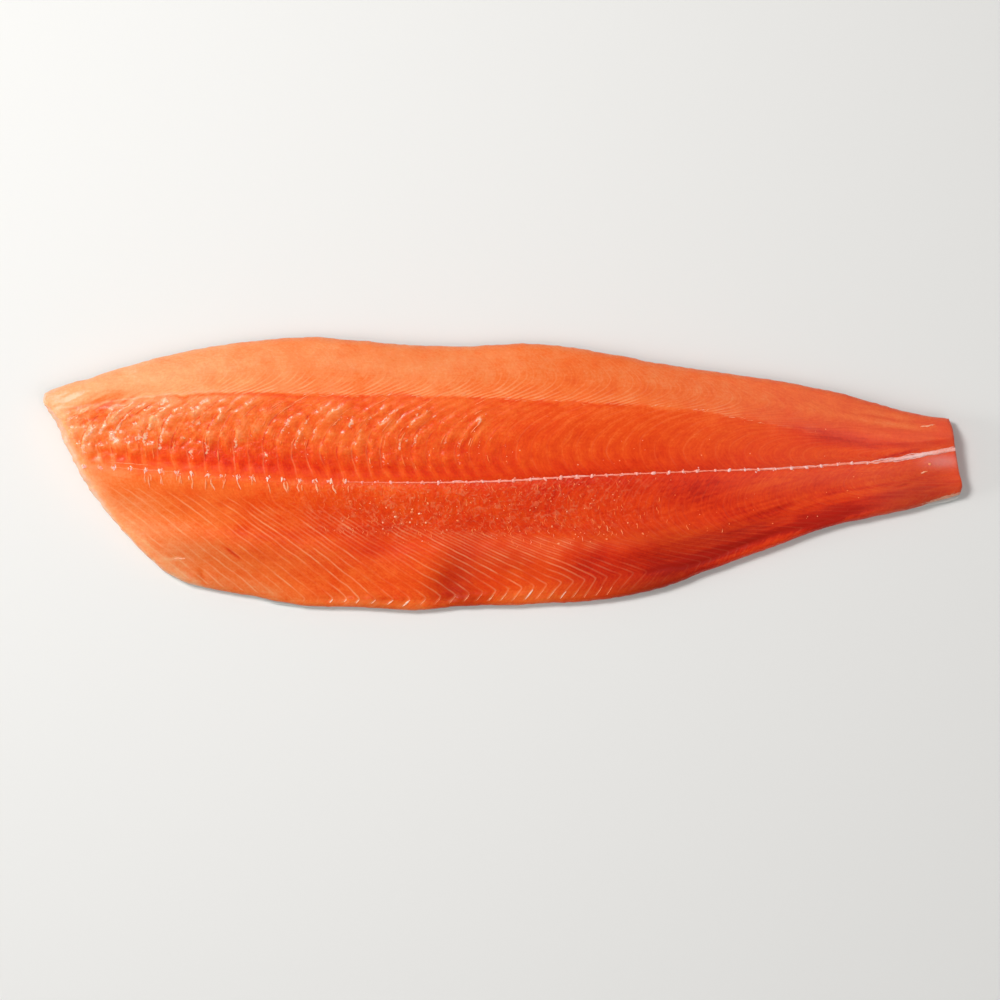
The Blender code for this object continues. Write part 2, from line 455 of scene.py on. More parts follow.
@dataclass(frozen=True)
class Myomeres:
    """The stacked muscle blocks, whose edges show as fine pale lines across the flesh.

    Each edge line has the same shape, repeated every vertebra along the fish. The curves below give
    how far the line has shifted towards the tail at a share of the way through each zone.
    """

    form: FilletForm
    noise: SoftNoise
    spacing: float = 8.33
    first_line: float = -218.2
    loin_arc: Curve = Curve(((0, 0), (0.18, -5.0), (0.35, -7.0), (0.55, -4), (0.8, 8), (1, 25)))
    loin_arc_head: Curve = Curve(((0, 0), (0.2, -1.2), (0.42, -1.6), (0.6, 1), (0.8, 8), (1, 22)))
    back_arc: Curve = Curve((
        (0, 0), (0.1, 7.5), (0.2, 13), (0.34, 18), (0.5, 19), (0.72, 14), (1, 0),
    ))
    under_arc_head: Curve = Curve(((0, 0), (0.5, 0.8), (0.8, 3.8), (1, 8.5)))
    under_arc_tail: Curve = Curve(((0, 0), (0.25, -7), (0.5, -11), (0.75, -9), (1, 0)))
    # Shift towards the tail for each millimetre down the belly, at its top and at its turn.
    belly_run_top: Curve = Curve((
        (-220, 1.5), (-110, 1.7), (-66, 2.2), (0, 3.1), (50, 3.7), (250, 4.6),
    ))
    belly_run_turn: Curve = Curve((
        (-220, 1.4), (-110, 1.2), (-66, 1.0), (0, 1.5), (50, 2.0), (250, 4.0),
    ))
    rim_run: float = 1.05
    soft_corner: float = 0.4
    tail_stretch: Curve = Curve(((130, 1.0), (190, 1.7), (240, 2.6)))
    wander: float = 0.11
    least_pitch: float = 0.8
    # Every line has one of so many random strengths.
    strength_seed: int = 7
    strength_count: int = 300

    def station(self, line: float) -> float:
        """Returns where a line of this count meets the midline."""
        return self.first_line + line * self.spacing

    def zones(self, x: Array, y: Array) -> tuple[Array, ...]:
        """Places each point in the muscle's zones.

        Args:
            x: Stations.
            y: Places across.

        Returns:
            Share through the back cap, the loin and the muscle under the midline, then the depth
            down the belly wall, that wall's whole depth, and the depth past the belly's turn.
        """
        form = self.form
        back, crest, middle = form.back_edge(x), form.loin_line(x), form.midline(x)
        wall, turn = form.wall_line(x), form.turn_line(x)
        cap = np.clip((y - crest) / (back - crest), 0, 1)
        loin = np.clip((y - middle) / (crest - middle), 0, 1)
        under = np.clip((middle - y) / (middle - wall), 0, 1)
        wall_depth = np.maximum(wall - turn, 2.0)
        past = wall - wall_depth - y
        rim = np.where(y < wall, (past + np.hypot(past, self.soft_corner)) / 2, 0.0)
        belly = np.maximum(wall - y - rim, 0)
        return cap, loin, under, belly, wall_depth, rim

    def phase(self, x: Array, y: Array) -> Array:
        """Counts the edge lines from the head; a whole number is a line.

        Args:
            x: X of each place.
            y: Y of each place.

        Returns:
            The count at each place.
        """
        cap, loin, under, belly, wall_depth, rim = self.zones(x, y)
        stretch = self.tail_stretch(x)
        loin_arc = blend(self.loin_arc_head(loin), self.loin_arc(loin), smooth_step(-160, -10, x))
        shift = (loin_arc + self.back_arc(cap)) * stretch
        tailward = smooth_step(-80, 30, x)
        shift += blend(self.under_arc_head(under), self.under_arc_tail(under), tailward)
        top, turn = self.belly_run_top(x), self.belly_run_turn(x)
        shift += top * belly - (top - turn) * belly**2 / (2 * wall_depth)
        shift -= self.rim_run * rim
        phase = (x - shift - self.first_line) / self.spacing
        return phase + self.wander * self.noise(x, y, 11.0) + 0.25 * self.wander * self.noise(x, y, 4.0)

    def pitch(self, x: Array, y: Array) -> Array:
        """Measures the distance between two lines, square to them.

        Args:
            x: X of each place.
            y: Y of each place.

        Returns:
            The distance at each place, in millimetres.
        """
        step = 0.5
        here = self.phase(x, y)
        along = (self.phase(x + step, y) - here) / step
        across = (self.phase(x, y + step) - here) / step
        return np.clip(1 / np.maximum(np.hypot(along, across), 0.05), self.least_pitch, self.spacing)

    def line_strength(self, x: Array, y: Array) -> Array:
        """Works out how clearly the lines show.

        Args:
            x: X of each place.
            y: Y of each place.

        Returns:
            Their strength at each place, from 0 to 1.
        """
        cap, loin, under, belly, *_ = self.zones(x, y)
        tailward = smooth_step(-40, 60, x)
        by_crest = 0.44 * smooth_step(0.35, 0.0, cap) + 0.18 * smooth_step(1.1, 0.3, cap)
        on_cap = blend(0.8 * smooth_step(0.55, 0.05, cap), by_crest, tailward)
        on_cap *= smooth_step(-215, -150, x) * blend(1.0, 0.12, smooth_step(120, 185, x))
        on_loin = blend(0.24, 0.08, smooth_step(-150, 50, x)) * smooth_step(0.0, 0.25, loin)
        in_channel = window(loin, 0.0, 0.06, 0.20, 0.45)
        on_loin += 0.14 * in_channel * window(x, -235, -215, -100, -30)
        on_under = 0.04 + 0.05 * window(x, -40, 20, 70, 120)
        on_under += 0.36 * smooth_step(0.7, 1.0, under) * window(x, -245, -205, -90, -30)
        on_belly = 0.07 + 0.53 * window(x, -250, -170, 26, 84)
        strength = np.where(cap > 0, on_cap, np.where(loin > 0, on_loin, on_under))
        down_belly = blend(on_under, on_belly, smooth_step(0.0, 3.0, belly))
        strength = np.where(belly > 0, down_belly, strength)
        # Each line has its own strength, and comes and goes along its way.
        count = np.round(2 * self.phase(x, y)).astype(int)
        own = np.random.default_rng(self.strength_seed).uniform(0.5, 1.15, self.strength_count)
        broken = np.clip(0.8 + 0.8 * self.noise(x, y + 80, 7.0), 0.2, 1.2)
        return strength * own[count % self.strength_count] * broken

    def doubling(self, x: Array, y: Array) -> Array:
        """Works out how clearly a second line shows half way between two.

        Args:
            x: X of each place.
            y: Y of each place.

        Returns:
            Its strength at each place, from 0 to 1.
        """
        cap, _, under, belly, depth, _ = self.zones(x, y)
        high = 0.5 * smooth_step(0.7, 0.2, belly / depth) * smooth_step(-190, -110, x)
        return np.where(cap > 0, 1.0, np.where(belly > 0, high, (under > 0) * smooth_step(10, 40, x)))

    def trace(self, line: float, y: Array) -> Array:
        """Finds where an edge line runs, step by step from where it meets the midline.

        Args:
            line: Count of the line from the head.
            y: Places across at which it is wanted.

        Returns:
            The station at each place.
        """
        steps, pull = 30, 0.6
        x = np.full_like(y, self.station(line))
        for _ in range(steps):
            x = x - pull * self.spacing * (self.phase(x, y) - line)
        return x


@dataclass(frozen=True)
class Relief:
    """What the knife and the flakes leave on the flesh, on top of its smooth form."""

    form: FilletForm
    myomeres: Myomeres
    noise: SoftNoise
    flake_height: float = 1.10
    flake_edge: float = 0.17
    channel_depth: float = 0.35
    channel_above: float = 6.0
    channel_half_width: float = 3.6
    lip_height: float = 0.35
    cuts: tuple[Patch, ...] = (
        Patch(-147, -43, 5.0, 0.8, -0.7, -37), Patch(218.5, -6.5, 4.0, 0.6, -0.5, 13),
        Patch(-26, -53, 17, 7.5, -1.0, 54), Patch(50, -47, 15, 8.0, -0.8, 52),
        Patch(125, -40.5, 28, 1.6, -0.4, 12), Patch(148, -20, 16, 1.4, -0.4, 17),
        Patch(-163.5, -57.5, 1.2, 4.5, -0.9, 12), Patch(-168, -58, 3.0, 4.0, 0.7, 12),
        Patch(-158, -58.5, 3.5, 4.0, 0.5, 12),
    )
    # Clusters of glints: raised lumps whose pale colour is a painted highlight.
    glint_clusters: tuple[Patch, ...] = (
        Patch(-211, 21, 5.5, 1.6, 1.0, 75), Patch(-196.5, 20, 3.6, 2.2, 0.9, 35),
        Patch(-223, 22, 5.0, 1.0, 0.8, 60), Patch(-214, 29, 9.0, 0.9, 0.8, 58),
        Patch(-183, 38.5, 3.5, 2.2, 0.9, 20), Patch(-167, 26.5, 4.5, 1.6, 1.0, 20),
        Patch(-173, 18, 3.0, 1.2, 0.8, 60), Patch(-154, 29, 4.5, 1.0, 0.8, 55),
        Patch(-81, 28, 3.0, 1.2, 0.7, 70), Patch(-45, 33, 5.0, 0.9, 0.8, 62),
        Patch(-52, 17, 3.5, 0.9, 0.8, 70), Patch(-12, 28, 3.5, 0.9, 0.8, 60),
    )

    def gape(self, x: Array, y: Array) -> Array:
        """Works out how far the flakes gape: most on the loin near the head.

        Args:
            x: X of each place.
            y: Y of each place.

        Returns:
            The gape at each place, from 0 to 1.
        """
        _, loin, *_ = self.myomeres.zones(x, y)
        along = 0.8 * smooth_step(70, -80, x) + 0.2 * smooth_step(-110, -165, x)
        along *= smooth_step(-250, -228, x)
        return along * window(loin, 0.06, 0.30, 0.80, 1.02)

    def speckle(self, x: Array, y: Array) -> Array:
        """Works out how grainy the flesh is: most just below the midline.

        Args:
            x: X of each place.
            y: Y of each place.

        Returns:
            The grain at each place, from 0 to 1.
        """
        below = self.form.midline(x) - y
        along = window(x, -150, -70, 20, 120)
        return along * window(below, -3.0, 3.0, 22.0, 36.0)

    def channel(self, x: Array, y: Array) -> Array:
        """Returns how far a place lies in the backbone's channel, just above the midline."""
        above = (y - self.form.midline(x) - self.channel_above) / self.channel_half_width
        return np.exp(-(above**2)) * window(x, -240, -218, -60, 40)

    def crest_distance(self, x: Array, y: Array) -> Array:
        """Measures how far above the back cap's ragged edge, where it lies on the loin, a place is.

        Args:
            x: X of each place.
            y: Y of each place.

        Returns:
            The distance at each place, in millimetres.
        """
        ragged = 1.1 * self.noise(x, 0 * y, 10.0) + 0.7 * self.noise(x, 0 * y + 9, 3.6)
        torn = window(x, -110, -70, 130, 190)
        ragged += torn * (0.9 * self.noise(x, y, 2.6) + 0.6 * self.noise(x, y + 50, 1.5))
        return y - self.form.loin_line(x) - ragged

    def flakes(self, x: Array, y: Array) -> Array:
        """Works out how high the gaping flakes stand.

        Args:
            x: X of each place.
            y: Y of each place.

        Returns:
            Their height at each place, in millimetres.
        """
        gape, noise = self.gape(x, y), self.noise
        jagged = (0.20 * noise(x, y, 3.4) + 0.16 * noise(x, y + 40, 7.5)) * gape
        phase = self.myomeres.phase(x, y) + jagged
        part = phase - np.floor(phase)
        flake = smooth_step(0.0, self.flake_edge, part) * (1 - part) ** 0.8
        stands = np.clip(0.55 + 0.95 * noise(np.floor(phase) * 37.0, y, 7.0), 0.0, 1.4)
        lumps = 0.42 * noise(x + 17, y, 3.0) + 0.26 * noise(x, y + 23, 1.7)
        return gape * (self.flake_height * stands * flake + lumps)

    def fold(self, x: Array, y: Array) -> Array:
        """Returns how deep a place lies in the fold inside the belly's lip, from 0 to 1."""
        inside = (y - self.form.turn_line(x) + 0.8 * self.noise(x, 0 * y + 5, 9.0)) / 1.7
        return np.exp(-(inside**2)) * window(x, 62, 92, 188, 214)

    def torn(self, x: Array, y: Array) -> Array:
        """Finds where the flakes' edges are painted pale: partly torn skins that stand up, partly
        painted highlights for the glints on them.

        Args:
            x: X of each place.
            y: Y of each place.

        Returns:
            Their strength at each place, from 0 to 1.
        """
        part = self.myomeres.phase(x, y) % 1.0
        edge = window(part, 0.0, 0.05, 0.12, 0.40)
        patchy = smooth_step(-0.05, 0.6, self.noise(x + 71, y, 8.0) + 0.6 * self.noise(x, y + 91, 3.0))
        # Near the clusters the pale colour is a painted highlight.
        glint_clusters = sum(cluster(x, y) for cluster in self.glint_clusters)
        glint_clusters = glint_clusters * (1.0 + self.noise(x, y + 33, 1.8))
        return np.clip(self.gape(x, y) * edge * patchy + glint_clusters, 0, 1)

    def height(self, x: Array, y: Array) -> Array:
        """Adds up the relief.

        Args:
            x: X of each place.
            y: Y of each place.

        Returns:
            Its height at each place, in millimetres.
        """
        noise = self.noise
        height = self.flakes(x, y)
        height += 0.16 * self.speckle(x, y) * noise(x + 5, y, 2.0)
        # The channel of the backbone, with a dent between every two bones.
        dent = 1 + 0.5 * np.sin(np.pi * self.myomeres.phase(x, y)) ** 2
        height -= self.channel_depth * self.channel(x, y) * dent
        # The belly's rim is soft and lumpy where its fat shows.
        rim = smooth_step(9.0, 3.0, y - self.form.belly_edge(x)) * window(x, -120, -90, 20, 70)
        height += rim * (0.8 * noise(x, y + 61, 2.6) + 0.5 * noise(x + 8, y, 5.0))
        lip = self.crest_distance(x, y)
        edge = smooth_step(-0.6, 0.6, lip) * np.exp(-((np.maximum(lip, 0) / 3.2) ** 2))
        crisp = smooth_step(-200, -175, x) * (0.35 + 0.65 * smooth_step(-80, -120, x))
        height += self.lip_height * edge * (crisp * smooth_step(160, 60, x))
        for cut in self.cuts:
            height += cut(x, y)
        height -= 0.6 * self.fold(x, y)
        for cluster in self.glint_clusters:
            height += 0.35 * cluster(x, y) * (1 + 0.6 * noise(x, y + 33, 1.8))
        # Soft unevenness everywhere.
        height += 0.35 * noise(x, y, 17.0, 1.6) + 0.14 * noise(x, y, 6.0, 1.4)
        height += 0.05 * noise(x + 31, y, 2.4)
        return height


@dataclass(frozen=True)
class ToneMap:
    """The flesh's tone, from 0, pale peach, to 1, the deepest red.

    The flesh is palest at the head end and along the back, and reddest where the belly runs out
    towards the tail. Each curve gives the tone along the fish on one landmark, and the tone in
    between is mixed. Patches add painted shade in hollows, slits and deep folds, and paler scrapes.
    """

    form: FilletForm
    relief: Relief
    noise: SoftNoise
    back_rim: Curve = Curve((
        (-241, 0.19), (-205, 0.19), (-160, 0.24), (-77, 0.35), (29, 0.38), (86, 0.43), (149, 0.48),
        (238, 0.60),
    ))
    cap: Curve = Curve((
        (-241, 0.12), (-200, 0.18), (-163, 0.22), (-91, 0.31), (-19, 0.33), (10, 0.40), (86, 0.44),
        (150, 0.45), (238, 0.58),
    ))
    crest: Curve = Curve((
        (-241, 0.22), (-211, 0.40), (-187, 0.31), (-139, 0.43), (-91, 0.50), (10, 0.52), (77, 0.56),
        (101, 0.59), (149, 0.69), (180, 0.94), (200, 0.90), (221, 0.83), (238, 0.76),
    ))
    loin: Curve = Curve((
        (-241, 0.26), (-187, 0.40), (-139, 0.46), (-67, 0.50), (-19, 0.58), (40, 0.64), (77, 0.61),
        (125, 0.64), (173, 0.63), (238, 0.71),
    ))
    channel: Curve = Curve((
        (-241, 0.38), (-211, 0.52), (-187, 0.61), (-163, 0.75), (-127, 0.80), (-91, 0.71),
        (-43, 0.68), (5, 0.72), (35, 0.71), (77, 0.74), (125, 0.76), (173, 0.67), (238, 0.68),
    ))
    below_midline: Curve = Curve((
        (-241, 0.30), (-187, 0.43), (-139, 0.51), (-91, 0.56), (-43, 0.63), (5, 0.74), (29, 0.86),
        (53, 0.84), (101, 0.86), (149, 0.67), (190, 0.67), (238, 0.68),
    ))
    wall: Curve = Curve((
        (-241, 0.26), (-211, 0.39), (-163, 0.52), (-115, 0.61), (-67, 0.77), (-43, 0.69), (0, 0.76),
        (40, 0.63), (77, 0.69), (125, 0.85), (150, 0.82), (197, 0.74), (238, 0.67),
    ))
    belly: Curve = Curve((
        (-241, 0.22), (-187, 0.33), (-139, 0.46), (-91, 0.58), (-19, 0.63), (5, 0.67), (29, 0.69),
        (77, 0.93), (125, 0.92), (150, 0.89), (173, 1.13), (197, 0.99), (221, 0.75), (238, 0.71),
    ))
    turn: Curve = Curve((
        (-241, 0.20), (-186, 0.32), (-132, 0.46), (-91, 0.50), (-67, 0.55), (-43, 0.56),
        (-19, 0.71), (10, 0.58), (29, 0.63), (53, 0.79), (86, 0.94), (101, 1.05), (130, 0.96),
        (173, 1.0), (200, 0.90), (221, 0.74), (245, 0.69),
    ))
    belly_rim: Curve = Curve((
        (-241, 0.22), (-163, 0.40), (-91, 0.42), (-43, 0.47), (-19, 0.65), (8, 0.50), (53, 0.63),
        (77, 0.72), (101, 0.86), (150, 0.74), (173, 0.94), (197, 0.78), (221, 0.67), (240, 0.68),
    ))
    # Most of these are painted shade: deeper red in hollows, slits and folds, below the back cap's edge
    # and beside the thread. Those with a negative amount are paler scrapes and spots.
    patches: tuple[Patch, ...] = (
        Patch(-68, -42, 11, 3.6, 0.10, 5), Patch(-26, -53, 18, 8.5, 0.15, 54),
        Patch(4, -52, 24, 7.5, 0.07, 8), Patch(50, -47, 16, 8.5, 0.12, 52),
        Patch(-95, -31.5, 42, 2.6, 0.08, 3), Patch(-141, -30, 6, 2.2, 0.12, 25),
        Patch(-147, -43, 5, 0.8, 0.30, -37), Patch(218.5, -6.5, 4.2, 0.7, 0.20, 13),
        Patch(-163.5, -57.5, 1.3, 4.5, 0.14, 12), Patch(-179, -46.5, 6, 0.9, -0.22, 3),
        Patch(-126, -65, 10, 3.2, -0.12, -16), Patch(-246, 38, 6, 5, -0.10, 30),
        Patch(30, -30, 22, 2.2, 0.10, -3), Patch(148, -20, 16, 1.6, 0.13, 17),
        Patch(180, -22, 22, 1.4, 0.10, 14), Patch(125, -40.5, 28, 1.8, 0.10, 12),
        Patch(163, 24.8, 13, 1.2, 0.16, -10), Patch(187, 20.5, 15, 1.6, 0.07, -10),
        Patch(217, 10.8, 12, 0.9, 0.34, 14), Patch(243, 7, 4.5, 3, -0.14),
    )
    # Painted shade: hollows, thin flesh and the belly's edge are darkened; negative patches paint
    # light.
    painted_shade_patches: tuple[Patch, ...] = (
        Patch(-145, -56, 42, 14, 0.12, -12), Patch(-24, -58, 20, 11, 0.26, 54),
        Patch(50, -58, 26, 12, 0.14, 10), Patch(205, 34, 48, 13, 0.06, -20),
        Patch(200, 17, 35, 6, -0.08, -3), Patch(-170, -42, 22, 8, 0.07),
        Patch(-145, 6, 60, 6, -0.09, -3), Patch(125, -35, 34, 8, 0.19, 17),
        Patch(75, -34, 45, 6, 0.11, 2), Patch(90, -56, 20, 6, 0.14, 20),
        Patch(-120, -45, 62, 11, 0.13, -5), Patch(88, -42, 20, 11, 0.13, 12),
        Patch(5, -48, 14, 8, 0.12), Patch(224, -10, 24, 11, 0.23, 17),
    )
    edge_painted_shade: Curve = Curve((
        (-215, 0.06), (-190, 0.14), (-140, 0.12), (-80, 0.14), (-67, 0.22), (-43, 0.06),
        (-19, 0.24), (10, 0.12), (55, 0.20), (77, 0.38), (105, 0.26), (125, 0.05), (149, -0.05),
        (173, 0.08), (197, 0.08), (221, 0.12),
    ))
    edge_painted_shade_reach: float = 7.0
    film_patch: Patch = Patch(240, 6.6, 10, 3.4, 0.75)

    def landmark_lines(self, x: Array) -> tuple[Array, ...]:
        """Finds the landmarks that the curves belong to.

        Args:
            x: Stations along the fish.

        Returns:
            Y of each landmark, from the back rim to the belly rim.
        """
        form = self.form
        back, crest, middle = form.back_edge(x), form.loin_line(x), form.midline(x)
        wall, turn, belly = form.wall_line(x), form.turn_line(x), form.belly_edge(x)
        turn = np.maximum(turn, belly + 1.0)
        return (
            back, (back + crest) / 2, crest - 1.0, middle + 0.55 * (crest - middle),
            middle + 0.16 * (crest - middle), middle - 2.5, wall, (wall + turn) / 2, turn,
            np.minimum(belly + 3.0, turn - 0.5), belly,
        )

    def tone(self, x: Array, y: Array) -> Array:
        """Works out the tone.

        Args:
            x: X of each place.
            y: Y of each place.

        Returns:
            The tone at each place.
        """
        lines = self.landmark_lines(x)
        curves = (
            self.back_rim, self.cap, self.crest, self.loin, self.channel,
            self.below_midline, self.wall, self.belly, self.turn, self.belly_rim, self.belly_rim,
        )
        tones = [curve(x) for curve in curves]
        tone = tones[0].copy()
        for above, below, first, second in zip(lines, lines[1:], tones, tones[1:]):
            share = np.clip((above - y) / np.maximum(above - below, 0.5), 0, 1)
            tone = np.where(y <= above, blend(first, second, share), tone)
        for patch in self.patches:
            tone += patch(x, y)
        # Painted shade in the fold inside the belly's lip.
        tone += 0.12 * self.relief.fold(x, y)
        # The back cap is paler right up to its edge. Just below that edge runs a painted shadow line,
        # crisp near the head and ragged further back.
        lip = self.relief.crest_distance(x, y)
        paler = 0.07 * smooth_step(-0.7, 0.7, lip) * np.exp(-((np.maximum(lip, 0) / 7) ** 2))
        tone -= paler * smooth_step(-215, -170, x)
        crisp = window(x, -195, -170, -125, -95)
        torn = window(x, -110, -80, 40, 120) * np.clip(0.5 + 1.2 * self.noise(x, y, 7.0), 0, 1)
        tone += (0.12 * crisp + 0.10 * torn) * np.exp(-(((lip + 0.9) / 0.9) ** 2))
        # The red dents between the bones.
        part = self.relief.myomeres.phase(x, y) % 1.0
        from_bone = smooth_step(0.0, 0.32, np.minimum(part, 1 - part))
        tone += 0.20 * self.relief.channel(x, y) * (from_bone - 0.6)
        # Raised flakes are painted paler and the gaps between them redder: painted light and shade that
        # follow the relief. Elsewhere the blocks show as soft bands.
        tone -= 0.16 * (self.relief.flakes(x, y) - 0.3 * self.relief.gape(x, y))
        uneven = 1 + 1.2 * self.noise(x, y + 70, 12.0)
        tone -= 0.024 * self.bands(x, y) * np.cos(2 * np.pi * part) * uneven
        tone += self.streaks(x, y)
        return tone + 0.035 * self.noise(x, y, 13.0, 1.5) + 0.03 * self.noise(x, y, 5.0, 1.5)

    def streaks(self, x: Array, y: Array) -> Array:
        """Works out the long fine streaks at both ends of the fillet.

        Args:
            x: X of each place.
            y: Y of each place.

        Returns:
            What they add to the tone at each place.
        """
        form, noise = self.form, self.noise
        # At the tail the fibres run along the fish, parallel to its belly or to its back.
        low = smooth_step(0.0, 6.0, form.midline(x) - y)
        down = y - 0.8 * form.belly_edge(x) * low - 0.5 * form.back_edge(x) * (1 - low)
        tail = blend(smooth_step(165, 215, x), smooth_step(50, 120, x), low)
        streaks = tail * (0.08 * noise(x, down, 1.3, 14.0) + 0.045 * noise(x, down + 30, 3.0, 9.0))
        # At the head pale stripes climb from the loin to the back.
        turn = math.radians(27)
        along, across = x * math.cos(turn) + y * math.sin(turn), y * math.cos(turn) - x * math.sin(turn)
        head = smooth_step(-180, -205, x) * window(y, 20.0, 30.0, 40.0, 46.0)
        stripes = 0.17 * noise(along, across, 1.5, 9.0) + 0.08 * noise(along, across + 20, 3.4, 6.0)
        return streaks - head * stripes

    def painted_shade(self, x: Array, y: Array) -> Array:
        """Works out the painted shade: how much the colour is darkened.

        Args:
            x: X of each place.
            y: Y of each place.

        Returns:
            The missing share at each place.
        """
        inside = np.maximum(y - self.form.belly_edge(x), 0) / self.edge_painted_shade_reach
        painted_dimming = sum(patch(x, y) for patch in self.painted_shade_patches)
        # Painted shade along the belly's edge and in the fold inside its lip.
        return painted_dimming + self.edge_painted_shade(x) * np.exp(-(inside**2)) + 0.06 * self.relief.fold(x, y)

    def film(self, x: Array, y: Array) -> Array:
        """Works out the thin pinkish film, towards the tail and on the back.

        Args:
            x: X of each place.
            y: Y of each place.

        Returns:
            How far it veils the colour at each place.
        """
        down = self.form.midline(x) - y
        tail = 0.065 + 0.06 * np.exp(-(((down - 5) / 6) ** 2))
        low = blend(0.2, 1.3, smooth_step(185, 215, x))
        tail = tail * smooth_step(60, 190, x) * blend(1.0, low, smooth_step(8.0, 22.0, down))
        up = y - self.form.loin_line(x)
        back = blend(0.03, 0.10, smooth_step(20, 150, x)) * smooth_step(-2.0, 4.0, up)
        return tail + back + self.film_patch(x, y)

    def bands(self, x: Array, y: Array) -> Array:
        """Works out how clearly the muscle blocks show as soft bands.

        Args:
            x: X of each place.
            y: Y of each place.

        Returns:
            Their strength at each place, from 0 to 1.
        """
        _, loin, under, belly, *_ = self.relief.myomeres.zones(x, y)
        inner = window(loin, 0.0, 0.2, 0.85, 1.0) * smooth_step(-120, -30, x)
        inner *= smooth_step(200, 130, x)
        lower = smooth_step(0.05, 0.3, under) * smooth_step(3.0, 0.0, belly) * smooth_step(-60, 30, x)
        lower *= smooth_step(130, 70, x)
        return inner + lower * (loin <= 0) + 0.4 * (belly > 0)


# ------------------------------------------------------------------ finishes


